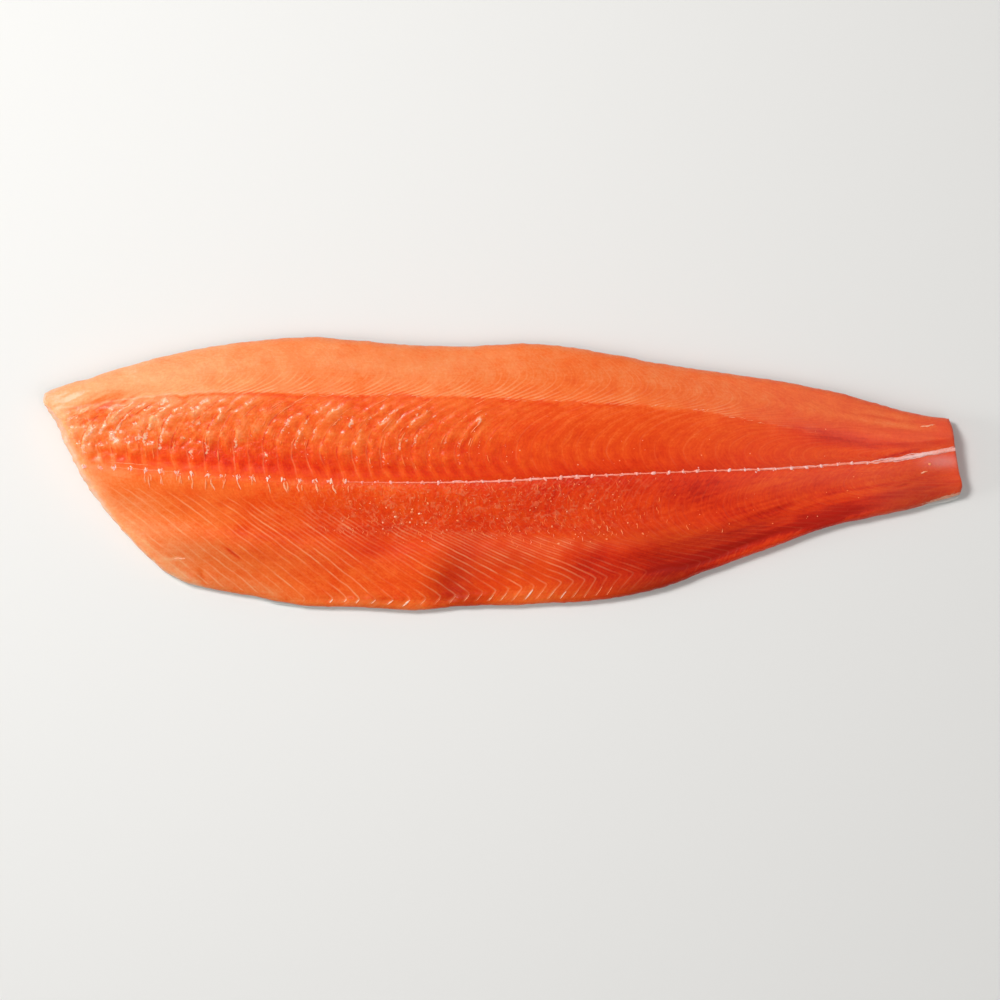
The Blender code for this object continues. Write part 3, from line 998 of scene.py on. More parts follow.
@dataclass(frozen=True)
class FleshFinish:
    """Raw salmon muscle: translucent orange flesh under a film of water.

    The pigment gives the eye its orange to red, the fat between the muscle blocks its fine pale
    lines, and the film of water a gloss that breaks into small glints where the flakes stand up.
    Painted shade darkens the cracks, hollows and belly's edge, and painted highlights pale the
    flake edges.
    """

    name: str = "salmon_flesh"
    tones: tuple[tuple[float, str], ...] = (
        (0.00, "#FFD0AA"), (0.15, "#FFAF78"), (0.30, "#FE9052"), (0.45, "#FB7129"),
        (0.60, "#F05210"), (0.75, "#E63D08"), (0.88, "#D82B03"), (1.00, "#C21A01"),
    )
    fat_colour: str = "#FFC48C"
    torn_and_glint_colour: str = "#FFCDAA"
    film_colour: str = "#EE8A80"
    line_half_width: float = 0.66
    line_cover: float = 0.50
    crack_half_width: float = 0.60
    grain_size: float = 1.3
    crumb_size: float = 2.7
    mottle_size: float = 8.0
    roughness: float = 0.42

    def make(self) -> Material:
        """Builds the material.

        Returns:
            The flesh material, which reads the attributes tone, myomere, looks and light.
        """
        material, tree, shader = new_material(self.name)
        place = add(tree, "ShaderNodeTexCoord").outputs["Object"]
        tone = add(tree, "ShaderNodeAttribute", attribute_name="tone").outputs["Fac"]
        notes = [
            add(tree, "ShaderNodeAttribute", attribute_name=name).outputs["Vector"]
            for name in ("myomere", "looks", "light")
        ]
        (phase, pitch, strength), (gape, speckle, double), (painted_dimming, film, torn) = (
            add(tree, "ShaderNodeSeparateXYZ", {"Vector": note}).outputs for note in notes
        )

        grain, mottle, fibres, arcs, crumb = self.textures(tree, place, phase)
        line, doubled, crack = self.line_marks(tree, phase, pitch, grain, mottle)
        # Cracks come and go; crumbs of fat lie in the grainy flesh; torn skin, whose pale colour is
        # partly a painted highlight, is ragged.
        patchy = calc(tree, "MULTIPLY_ADD", grain, 0.30, mottle)
        ragged = calc(tree, "MULTIPLY_ADD", torn, 0.45, grain)
        here, crumb, skin = (
            mask(tree, value, low, high)
            for value, low, high in ((patchy, 0.60, 0.74), (crumb, 0.48, 0.72), (ragged, 0.72, 0.96))
        )
        lines = calc(tree, "MULTIPLY_ADD", doubled, double, line)
        line, crack, crumb = (
            calc(tree, "MULTIPLY", shape, amount)
            for shape, amount in ((lines, strength), (crack, gape), (crumb, speckle))
        )
        crack = calc(tree, "MULTIPLY", crack, here)

        # The cracks are painted deeper red: painted shade in the gaps between the flakes.
        shade = calc(tree, "MULTIPLY_ADD", crack, 0.17, tone)
        veined = calc(tree, "MULTIPLY", tone, 0.40)
        for layer, amount in ((mottle, 0.14), (grain, 0.18), (fibres, 0.12), (arcs, veined)):
            level = calc(tree, "SUBTRACT", layer, 0.5)
            shade = calc(tree, "MULTIPLY_ADD", level, amount, shade)
        ramp = add(tree, "ShaderNodeValToRGB", {"Fac": shade})
        fill_ramp(ramp.color_ramp, dict(self.tones))
        cover = calc(tree, "MULTIPLY_ADD", crumb, 0.34, line)
        colour = ramp.outputs["Color"]
        for share, amount, over in (
            (cover, self.line_cover, self.fat_colour), (skin, 0.70, self.torn_and_glint_colour),
            (film, 1.0, self.film_colour),
        ):
            mix = {"Factor": calc(tree, "MULTIPLY", share, amount), 6: colour, 7: srgb(over)}
            colour = add(tree, "ShaderNodeMix", mix, data_type="RGBA").outputs[2]
        # The painted shade darkens the colour; a negative amount lightens it.
        lit = calc(tree, "SUBTRACT", 1.0, painted_dimming)
        colour = add(tree, "ShaderNodeVectorMath", {0: colour, "Scale": lit}, operation="SCALE")

        wet = calc(tree, "MULTIPLY_ADD", gape, -0.12, self.roughness)
        uneven = calc(tree, "SUBTRACT", grain, 0.5)
        wet = calc(tree, "MULTIPLY_ADD", uneven, 0.3, wet)
        gloss = add(tree, "ShaderNodeMapRange", {"Value": gape, "To Min": 0.14, "To Max": 0.85})

        # Relief in millimetres: grain and fibres, more of both where the flakes gape.
        relief = calc(tree, "MULTIPLY_ADD", gape, 0.40, 0.13)
        relief = calc(tree, "MULTIPLY_ADD", speckle, 0.25, relief)
        relief = calc(tree, "MULTIPLY", grain, relief)
        for layer, amount in (
            (fibres, 0.10), (arcs, 0.12), (line, 0.07), (crumb, 0.14), (crack, -0.11), (skin, 0.12),
        ):
            relief = calc(tree, "MULTIPLY_ADD", layer, amount, relief)
        bump = add(tree, "ShaderNodeBump", {"Height": relief, "Strength": 1.0, "Distance": MM})
        feed(tree, shader, {
            "Base Color": colour.outputs[0], "Roughness": wet, "Coat Weight": gloss.outputs["Result"],
            "Normal": bump.outputs["Normal"], "IOR": 1.38, "Specular IOR Level": 0.24,
            "Coat Roughness": 0.21, "Coat IOR": 1.33, "Subsurface Weight": 0.4,
            "Subsurface Radius": (1.0, 0.25, 0.1), "Subsurface Scale": 0.004,
        })
        return material

    def textures(
        self, tree: NodeTree, place: NodeSocket, phase: NodeSocket
    ) -> list[NodeSocket]:
        """Adds the noises of the flesh.

        Args:
            tree: The material's tree.
            place: Where a point is, in metres.
            phase: Its count of muscle lines.

        Returns:
            Fine grain, wide mottling, fibres along the fish, arcs along the muscle lines, and crumbs.
        """
        stretched = add(tree, "ShaderNodeMapping", {"Vector": place, "Scale": (0.25, 1.0, 1.0)})
        # Across the muscle lines, and much more slowly along them.
        width = calc(tree, "MULTIPLY", phase, 0.0083)
        height = add(tree, "ShaderNodeSeparateXYZ", {"Vector": place}).outputs["Y"]
        height = calc(tree, "MULTIPLY", height, 0.3)
        followed = add(tree, "ShaderNodeCombineXYZ", {"X": width, "Y": height}).outputs[0]
        return [
            add(tree, "ShaderNodeTexNoise", {
                "Vector": where, "Scale": PER_METRE / size, "Detail": detail, "Distortion": swirl,
            }).outputs["Fac"]
            for where, size, detail, swirl in (
                (place, self.grain_size, 3.0, 0.0), (place, self.mottle_size, 4.0, 0.0),
                (stretched.outputs["Vector"], self.grain_size, 3.0, 0.0),
                (followed, self.grain_size, 3.0, 0.5), (place, self.crumb_size, 2.0, 1.1),
            )
        ]

    def line_marks(
        self, tree: NodeTree, phase: NodeSocket, pitch: NodeSocket,
        grain: NodeSocket, mottle: NodeSocket,
    ) -> list[NodeSocket]:
        """Adds the thin marks of the muscle lines, from the distance to the nearest in millimetres.

        Args:
            tree: The material's tree.
            phase: Count of muscle lines.
            pitch: Distance between two lines.
            grain: Fine noise that makes the lines waver.
            mottle: Wide noise that does the same.

        Returns:
            The fat lines between the muscle blocks, the lines half way between them where both
            faces of each block show, and the cracks where the flakes part beside a line, which the
            colour darkens as painted shade.
        """
        wobble = calc(tree, "MULTIPLY_ADD", mottle, 0.10, phase)
        wobble = calc(tree, "MULTIPLY_ADD", grain, 0.05, wobble)
        marks = []
        for beside, core, reach in (
            (0.0, 0.1, self.line_half_width), (0.5, 0.1, self.line_half_width),
            (0.06, 0.05, self.crack_half_width),
        ):
            away = calc(tree, "SUBTRACT", wobble, beside)
            away = calc(tree, "PINGPONG", away, 0.5)
            away = calc(tree, "MULTIPLY", away, pitch)
            marks.append(mask(tree, away, core, reach, falls=True))
        return marks


@dataclass(frozen=True)
class SkinFinish:
    """Fresh salmon skin: small overlapping silver scales, dark along the back, with black spots."""

    name: str = "salmon_skin"
    scale_size: float = 3.0
    shades: tuple[tuple[float, str], ...] = (
        (0.00, "#F1EEE8"), (0.25, "#D9DADA"), (0.55, "#A9B0B4"), (0.75, "#6C777C"), (1.00, "#30383C"),
    )
    spot_colour: str = "#15191B"

    def make(self) -> Material:
        """Builds the material.

        Returns:
            The skin's material, which reads the attribute share.
        """
        material, tree, shader = new_material(self.name)
        place = add(tree, "ShaderNodeTexCoord").outputs["Object"]
        share = add(tree, "ShaderNodeAttribute", attribute_name="share").outputs["Fac"]
        squeezed = add(tree, "ShaderNodeMapping", {"Vector": place, "Scale": (1.0, 1.35, 0.2)})
        scales = add(tree, "ShaderNodeTexVoronoi", {
            "Vector": squeezed.outputs["Vector"], "Scale": PER_METRE / self.scale_size,
            "Randomness": 0.35,
        })
        mottle = add(tree, "ShaderNodeTexNoise", {"Vector": place, "Scale": 90.0, "Detail": 3.0})
        spots = add(tree, "ShaderNodeTexVoronoi", {"Vector": place, "Scale": 60.0, "Randomness": 1.0})
        wave = calc(tree, "MULTIPLY_ADD", mottle.outputs["Fac"], 0.16, share)
        ramp = add(tree, "ShaderNodeValToRGB", {"Fac": wave})
        fill_ramp(ramp.color_ramp, dict(self.shades))
        spot = mask(tree, spots.outputs["Distance"], 0.10, 0.17, falls=True)
        upper = add(tree, "ShaderNodeMapRange", {"Value": share, "From Min": 0.62, "From Max": 0.80})
        mix = {
            "Factor": calc(tree, "MULTIPLY", spot, upper.outputs["Result"]),
            6: ramp.outputs["Color"], 7: srgb(self.spot_colour),
        }
        colour = add(tree, "ShaderNodeMix", mix, data_type="RGBA").outputs[2]
        relief = {"Height": scales.outputs["Distance"], "Strength": 0.7, "Distance": 0.25 * MM}
        bump = add(tree, "ShaderNodeBump", relief, invert=True)
        feed(tree, shader, {
            "Base Color": colour, "Normal": bump.outputs["Normal"], "Metallic": 0.45,
            "Roughness": 0.30, "Coat Weight": 0.4, "Coat Roughness": 0.12,
        })
        return material


# ------------------------------------------------------------------ the pieces


@dataclass(frozen=True)
class Rim:
    """How the flesh's rim is rounded between its upper face and its underside."""

    side_round: float = 3.0
    head_bevel: float = 6.5
    bevel_middle: float = 0.60
    bevel_spread: float = 0.34
    cut_round: float = 1.2
    under_inset: float = 1.0
    ragged: float = 0.45
    rings: int = 8
    underside_insets: tuple[float, ...] = (5.0, 11.0, 18.0)
    widest: float = 0.6
    shoulder: float = 0.62

    def bevel(self, share: Array) -> Array:
        """Returns how far the slanting head cut sets the upper face back, by share across."""
        away = ((share - self.bevel_middle) / self.bevel_spread) ** 2
        return self.cut_round + (self.head_bevel - self.cut_round) * np.exp(-(away**2))

    def ring(self, q: float, share: Array) -> tuple[float, Array, float, float]:
        """Places one ring of the rim.

        Args:
            q: 0 at the upper face, 1 at the underside.
            share: Shares across of the ring's points.

        Returns:
            Insets at the sides, the head and the tail, and the height as a part of the thickness.
        """
        down = min(q / self.widest, 1.0)
        under = max(q - self.widest, 0.0) / (1 - self.widest)
        tuck = self.under_inset * under * under
        roll = 1 - math.sin(math.pi / 2 * down)
        level = 1 - self.shoulder * (1 - math.cos(math.pi / 2 * down)) - (1 - self.shoulder) * under
        return (
            self.side_round * roll + tuck,
            self.bevel(share) * (1 - down) ** 0.9 + tuck,
            self.cut_round * roll + tuck,
            level,
        )


@dataclass(frozen=True)
class BakeMap:
    """Where the flesh lies in the map OFBake, whose square is one across.

    The upper face lies in it as two strips, the head half under the tail half, and the rim as four
    columns beside them. The hidden underside is squeezed into a free corner.
    """

    side: float = 304.0
    half_length: float = 255.0
    half_width: float = 75.0
    strip_corner: float = 0.002
    tail_strip: float = 0.502
    overlap: float = 2.0
    column_left: float = 0.846
    column_pitch: float = 0.038
    column_width: float = 0.035
    column_low: float = 0.005
    column_height: float = 0.98
    underside_corner: tuple[float, float] = (0.53, 0.508)
    underside_size: tuple[float, float] = (0.28, 0.07)

    def upper(self, x: Array, y: Array, tailward: Array) -> tuple[Array, Array]:
        """Places points of the upper face.

        Args:
            x: X of each point.
            y: Y of each point.
            tailward: Whether each point goes into the tail's strip.

        Returns:
            U and V of each point.
        """
        u = self.strip_corner + (x + np.where(tailward, self.overlap, self.half_length)) / self.side
        low = np.where(tailward, self.tail_strip, self.strip_corner)
        return u, low + (y + self.half_width) / self.side

    def rim(self, way: Array, down: Array) -> tuple[Array, Array]:
        """Places corners of the rim's faces.

        Args:
            way: Their way round the rim, a row for each face.
            down: Their way down it, from 0 to 1.

        Returns:
            U and V of each corner.
        """
        column = np.floor(way.min(axis=1, keepdims=True) / self.side)
        u = self.column_left + self.column_pitch * column + self.column_width * down
        return u, self.column_low + self.column_height * (way / self.side - column)

    def underside(self, x: Array, y: Array) -> Array:
        """Places points of the underside.

        Args:
            x: X of each point.
            y: Y of each point.

        Returns:
            U and V of each point.
        """
        (left, low), (width, height) = self.underside_corner, self.underside_size
        return np.stack([
            left + width * (x + self.half_length) / (2 * self.half_length),
            low + height * (y + self.half_width) / (2 * self.half_width),
        ])


class Sheet:
    """Points and faces of one closed piece: an upper grid, rings down its rim, and a lower side."""

    def __init__(self, x: Array, y: Array, z: Array, head: Array) -> None:
        """Starts the piece with its upper grid.

        Args:
            x: X of each grid point, rows along the fish and columns across it.
            y: Y of each point.
            z: Z of each point.
            head: Distance of each point to the head cut.
        """
        rows, columns = x.shape
        index = np.arange(rows * columns).reshape(rows, columns)
        self.index = index
        self.border_index = np.concatenate(
            [index[:-1, 0], index[-1, :-1], index[:0:-1, -1], index[0, :0:-1]]
        )
        self.blocks = [self._block(x, y, z, head, 0.0)]
        border_x, border_y = x.ravel()[self.border_index], y.ravel()[self.border_index]
        steps = np.hypot(np.roll(border_x, -1) - border_x, np.roll(border_y, -1) - border_y)
        self.way_round = float(steps.sum())
        self.border_way = np.cumsum(steps) - steps
        self.faces = self._grid_faces(index).tolist()
        self.ring = self.border_index

    @staticmethod
    def _block(x: Array, y: Array, z: Array, head: Array, down: float) -> Array:
        """Packs points and their notes into rows."""
        fields = np.broadcast_arrays(x, y, z, head, down)
        return np.stack([values.ravel() for values in fields], axis=1)

    @staticmethod
    def _grid_faces(index: Array) -> Array:
        """Returns the grid's quads, facing up."""
        corners = (index[:-1, :-1], index[1:, :-1], index[1:, 1:], index[:-1, 1:])
        return np.stack([corner.ravel() for corner in corners], axis=1)

    def border(self, along: Array, share: Array) -> tuple[Array, Array]:
        """Returns the grid's two parameters at its border points, in the rings' order."""
        along, share = np.broadcast_arrays(along, share)
        return along.ravel()[self.border_index], share.ravel()[self.border_index]

    def add_ring(self, x: Array, y: Array, z: Array, head: Array, down: float) -> None:
        """Adds a ring of points below the last one and joins the two.

        Args:
            x: X of the ring's points.
            y: Y of the points.
            z: Z of the points.
            head: Their distance to the head cut.
            down: 0 at the upper face to 1 at the underside.
        """
        first = sum(len(block) for block in self.blocks)
        self.blocks.append(self._block(x, y, z, head, down))
        ring = np.arange(first, first + len(x))
        quads = (ring, np.roll(ring, -1), np.roll(self.ring, -1), self.ring)
        self.faces += np.stack(quads, axis=1).tolist()
        self.ring = ring

    def close_flat(self) -> None:
        """Closes the lower side with one flat face inside the last ring."""
        self.faces.append(self.ring[::-1].tolist())

    def close_with_grid(self, x: Array, y: Array, z: Array, head: Array) -> None:
        """Closes the lower side with a grid like the upper one, whose border is the last ring.

        Args:
            x: X of each point.
            y: Y of each point.
            z: Z of each point.
            head: Distance of each point to the head cut.
        """
        first = sum(len(block) for block in self.blocks)
        index = np.empty_like(self.index)
        inner = index[1:-1, 1:-1]
        inner[...] = first + np.arange(inner.size).reshape(inner.shape)
        index.ravel()[self.border_index] = self.ring
        self.blocks.append(self._block(*(values[1:-1, 1:-1] for values in (x, y, z, head)), 1.0))
        self.faces += self._grid_faces(index)[:, ::-1].tolist()

    def write_bake_map(self, mesh: Mesh, layout: BakeMap) -> None:
        """Writes the map OFBake.

        Args:
            mesh: The piece's mesh, closed flat underneath.
            layout: Where each side of the piece lies in the map.
        """
        x, y, _, _, down = np.concatenate(self.blocks).T
        way = np.zeros(len(x))
        way[self.border_index] = self.border_way
        first = self.index.size
        way[first:] = np.tile(self.border_way, (len(x) - first) // len(self.border_way))
        quads = np.array(self.faces[:-1])
        x4, y4, down4, way4 = (values[quads] for values in (x, y, down, way))
        wraps = np.ptp(way4, axis=1, keepdims=True) > self.way_round / 2
        way4 = way4 + self.way_round * (wraps & (way4 < self.way_round / 2))
        on_rim = down4.max(axis=1, keepdims=True) > 0
        hidden = down4.min(axis=1, keepdims=True) >= 1
        upper = layout.upper(x4, y4, x4.mean(axis=1, keepdims=True) > 0)
        squeezed = layout.underside(x, y)
        places = np.stack([
            np.where(hidden, under[quads], np.where(on_rim, beside, above)).ravel()
            for above, beside, under in zip(upper, layout.rim(way4, down4), squeezed)
        ], axis=1)
        places = np.concatenate([places, squeezed[:, self.faces[-1]].T]).astype(np.float32)
        mesh.uv_layers.new(name="OFBake").data.foreach_set("uv", places.ravel())

    def columns(self) -> tuple[Array, ...]:
        """Returns X, Y, the distance to the head cut and the way down, for every point."""
        x, y, _, head, down = np.concatenate(self.blocks).T
        return x, y, head, down

    def make(self, name: str) -> Object:
        """Makes the object.

        Args:
            name: Name of the object and of its mesh.

        Returns:
            The object, smooth shaded and linked to the scene.
        """
        mesh = bpy.data.meshes.new(name)
        mesh.from_pydata((np.concatenate(self.blocks)[:, :3] * MM).tolist(), [], self.faces)
        mesh.shade_smooth()
        return put(name, mesh)


@dataclass
class Fillet:
    """The whole fillet: its form and pattern, and the flesh and skin that are built from them."""

    form: FilletForm
    myomeres: Myomeres
    relief: Relief
    tones: ToneMap
    rim: Rim
    along_cells: int = 500
    across_cells: int = 150
    skin_along_cells: int = 200
    skin_across_cells: int = 60
    skin_inset: float = 0.5
    skin_round: float = 0.3
    usual_width: float = 150.0
    tail_spare: float = 1.8
    clear_of_cuts: float = 30.0
    skin_shows: tuple[tuple[float, float, float], ...] = ((-121, 15, 1.9), (244, 16, 2.5))
    tail_fat: Patch = Patch(242, -13.5, 13, 1.4, 1.6, 16)

    def place(
        self, along: Array, share: Array, side: float, head: Array | float, tail: float, ragged: float
    ) -> tuple[Array, ...]:
        """Places grid points inside the outline.

        Args:
            along: 0 at the head cut to 1 at the tail cut.
            share: 0 at the belly edge to 1 at the back edge.
            side: Inset from the belly and back edges.
            head: Inset from the head cut.
            tail: Inset from the tail cut.
            ragged: How far the belly and back edges and the head cut stray, about a line just outside.

        Returns:
            X, Y and the distances to the head cut and the tail cut.
        """
        form = self.form
        across, noise = self.usual_width * share, self.relief.noise
        wander = 0.9 * noise(across, 0 * share + 201, 5.0) + 0.5 * noise(across, 0 * share, 1.8) - 0.7
        start = form.trim(share, form.head_cut, *form.head_range) + ragged * wander
        end = form.trim(share, form.tail_cut, *form.tail_range) + self.tail_spare * ragged
        x = start + head + along * (end - tail - start - head)
        low, high = ((side + more) / form.width(x) for more in self.raggedness(x, ragged))
        share = low + share * (1 - low - high)
        return x, form.across_at(x, share), x - start, end - x

    def raggedness(self, x: Array, amount: float) -> tuple[Array, Array]:
        """Works out how far inwards the knife strayed.

        Args:
            x: Stations along the fish.
            amount: How much it strays.

        Returns:
            The stray along the belly edge and along the back edge, in millimetres.
        """
        noise = self.relief.noise
        return tuple(
            amount * (0.6 * noise(x, 0 * x + line, 9.0) + 0.4 * noise(x, 0 * x + line, 2.8) - 0.9)
            for line in (113.0, 157.0)
        )

    def top(self, x: Array, y: Array, from_cut: Array) -> Array:
        """Works out the flesh's upper face.

        Args:
            x: Stations.
            y: Places across.
            from_cut: Distance to the nearer cut.

        Returns:
            Z at each place, in millimetres.
        """
        form = self.form
        edge = np.minimum(np.minimum(y - form.belly_edge(x), form.back_edge(x) - y), from_cut)
        relief = self.relief.height(x, y) * smooth_step(0.0, 6.0, edge)
        return form.curl(x, y, from_cut) + form.height(x, y) + relief

    def floor(self, x: Array, y: Array, from_cut: Array) -> Array:
        """Returns Z of the flesh's underside, a hair above the skin."""
        return self.form.curl(x, y, from_cut) + self.form.skin_thickness + self.form.gap

    def surface(self, x: Array, y: Array) -> Array:
        """Finds the flesh seen from above, at places clear of the two cuts.

        Args:
            x: X of each place.
            y: Y of each place.

        Returns:
            Z at each place, in millimetres.
        """
        inside = np.full_like(x, self.clear_of_cuts)
        edge = np.minimum(y - self.form.belly_edge(x), self.form.back_edge(x) - y)
        roll = 1 - np.clip(edge / self.rim.side_round, 0, 1)
        low, high = self.floor(x, y, inside), self.top(x, y, inside)
        return low + (1 - self.rim.shoulder * (1 - np.sqrt(1 - roll**2))) * (high - low)

    def build_flesh(self) -> Object:
        """Builds the flesh: a fine upper face, a rounded rim and a plain underside.

        Returns:
            The flesh, with the attributes that its finish reads.
        """
        rim = self.rim
        along = np.linspace(0, 1, self.along_cells + 1)[:, None]
        share = np.linspace(0, 1, self.across_cells + 1)[None, :]
        ragged = rim.ragged
        x, y, head, tail = self.place(
            along, share, rim.side_round, rim.bevel(share), rim.cut_round, ragged,
        )
        sheet = Sheet(x, y, self.top(x, y, np.minimum(head, tail)), head)
        border_along, border_share = sheet.border(along, share)
        for down in np.arange(1, rim.rings + 1) / rim.rings:
            side, cut, end, level = rim.ring(float(down), border_share)
            x, y, head, tail = self.place(border_along, border_share, side, cut, end, ragged)
            from_cut = np.minimum(head, tail)
            low, high = self.floor(x, y, from_cut), self.top(x, y, from_cut)
            sheet.add_ring(x, y, low + level * (high - low), head, float(down))
        for inset in rim.underside_insets:
            x, y, head, tail = self.place(border_along, border_share, inset, inset, inset, ragged)
            sheet.add_ring(x, y, self.floor(x, y, np.minimum(head, tail)), head, 1.0)
        sheet.close_flat()
        flesh = sheet.make("flesh_side")
        sheet.write_bake_map(flesh.data, BakeMap())
        self.write_flesh_looks(flesh.data, sheet)
        return flesh

    def write_flesh_looks(self, mesh: Mesh, sheet: Sheet) -> None:
        """Writes the attributes that the flesh's finish reads.

        Args:
            mesh: The flesh's mesh.
            sheet: The points it was made from.
        """
        x, y, head, down = sheet.columns()
        myomere = np.stack([
            self.myomeres.phase(x, y), self.myomeres.pitch(x, y),
            self.myomeres.line_strength(x, y) * (down == 0),
        ], axis=1)
        cut_face = smooth_step(0.05, 0.35, down) * smooth_step(14.0, 6.0, head)
        head_edge = 0.75 * smooth_step(13.0, 3.0, head)
        tone = self.tones.tone(x, y)
        streaky = 0.06 * self.relief.noise(x + y, y - x, 2.6, 4.0)
        tone = blend(tone, 0.17 - 0.08 * cut_face + streaky, np.maximum(cut_face, head_edge))
        gape = self.relief.gape(x, y) * (1 - cut_face)
        looks = np.stack([gape, self.relief.speckle(x, y), self.myomeres.doubling(x, y)], axis=1)
        torn = np.maximum(self.relief.torn(x, y) * (down == 0), 0.2 * cut_face)
        torn = np.maximum(torn, self.tail_fat(x, y))
        film = self.tones.film(x, y) + 0.12 * cut_face
        light = np.stack([self.tones.painted_shade(x, y), film, torn], axis=1)
        attribute = mesh.attributes.new("tone", "FLOAT", "POINT")
        attribute.data.foreach_set("value", tone.astype(np.float32))
        for name, values in (("myomere", myomere), ("looks", looks), ("light", light)):
            attribute = mesh.attributes.new(name, "FLOAT_VECTOR", "POINT")
            attribute.data.foreach_set("vector", values.astype(np.float32).ravel())

    def build_skin(self) -> Object:
        """Builds the skin: a thin sheet with rounded edges under all of the flesh.

        Returns:
            The skin, with the attribute share that its finish reads.
        """
        along = np.linspace(0, 1, self.skin_along_cells + 1)[:, None]
        share = np.linspace(0, 1, self.skin_across_cells + 1)[None, :]
        thickness = self.form.skin_thickness
        x, y, lift, head = self.skin_points(along, share, self.skin_inset + self.skin_round)
        sheet = Sheet(x, y, lift + thickness, head)
        border = sheet.border(along, share)
        for part in (0.25, 0.5, 0.75, 1.0):
            inset = self.skin_inset + self.skin_round * (1 - math.sin(math.pi * part))
            ring_x, ring_y, ring_lift, ring_head = self.skin_points(*border, inset)
            sheet.add_ring(ring_x, ring_y, ring_lift + thickness * (1 - part), ring_head, part)
        sheet.close_with_grid(x, y, lift, head)
        skin = sheet.make("skin_side")
        x, y, *_ = sheet.columns()
        values = self.form.share_at(x, y).astype(np.float32)
        skin.data.attributes.new("share", "FLOAT", "POINT").data.foreach_set("value", values)
        return skin

    def skin_points(self, along: Array, share: Array, inset: float) -> tuple[Array, ...]:
        """Places points of the skin.

        Args:
            along: 0 at the head cut to 1 at the tail cut.
            share: 0 at the belly edge to 1 at the back edge.
            inset: Inset from every edge.

        Returns:
            X, Y, Z of the underside and the distance to the head cut.
        """
        x, y, head, tail = self.place(along, share, inset, inset, inset, self.rim.ragged)
        y = y - self.skin_reach(x, y)
        return x, y, self.form.curl(x, y, np.minimum(head, tail)), head

    def skin_reach(self, x: Array, y: Array) -> Array:
        """Works out how far the skin reaches out past the flesh along the belly edge.

        Args:
            x: X of each place.
            y: Y of each place.

        Returns:
            The reach at each place, in millimetres.
        """
        reach = np.zeros_like(x)
        for station, half, amount in self.skin_shows:
            reach += amount * np.exp(-(((x - station) / half) ** 2))
        return reach * np.clip(1 - self.form.share_at(x, y) / 0.15, 0, 1)


# ------------------------------------------------------------------ fat and tissue on the flesh


class Waver(Enum):
    """How far a strand strays from its route, in millimetres."""

    CALM = 0.10
    WAVY = 0.35
    RAGGED = 0.60


@dataclass(frozen=True)
class TissueFinish:
    """White connective tissue and fat, tinted by the orange flesh that it grows in.

    Collagen and fat scatter nearly all light, so they look white to pale pink, and their wet surface
    glints. The attribute pale says how white each strand is.
    """

    name: str
    tinted: str = "#FF8446"
    pink: str = "#FFA676"
    white: str = "#FFE0CE"
    grain_size: float = 0.9

    def make(self) -> Material:
        """Builds the material.

        Returns:
            The tissue's material, which reads the attribute pale.
        """
        material, tree, shader = new_material(self.name)
        place = add(tree, "ShaderNodeTexCoord").outputs["Object"]
        pale = add(tree, "ShaderNodeAttribute", attribute_name="pale").outputs["Fac"]
        grain = add(tree, "ShaderNodeTexNoise", {
            "Vector": place, "Scale": PER_METRE / self.grain_size, "Detail": 2.0,
        }).outputs["Fac"]
        uneven = calc(tree, "SUBTRACT", grain, 0.5)
        shade = calc(tree, "MULTIPLY_ADD", uneven, 0.9, pale)
        ramp = add(tree, "ShaderNodeValToRGB", {"Fac": shade})
        fill_ramp(ramp.color_ramp, {0.0: self.tinted, 0.45: self.pink, 1.0: self.white})
        bump = add(tree, "ShaderNodeBump", {"Height": grain, "Strength": 0.8, "Distance": 0.2 * MM})
        feed(tree, shader, {
            "Base Color": ramp.outputs["Color"], "Normal": bump.outputs["Normal"], "Roughness": 0.38,
            "IOR": 1.42, "Specular IOR Level": 0.3, "Coat Weight": 0.35, "Coat Roughness": 0.18,
        })
        return material


@dataclass
class Strand:
    """One fine string of tissue: its route over the flesh, its thickness and its whiteness."""

    x: Array
    y: Array
    radius: Array
    pale: Array | float


@dataclass
class Bead:
    """One small lump of fat or tissue: its place, its radius and its whiteness."""

    x: float
    y: float
    radius: float
    pale: float


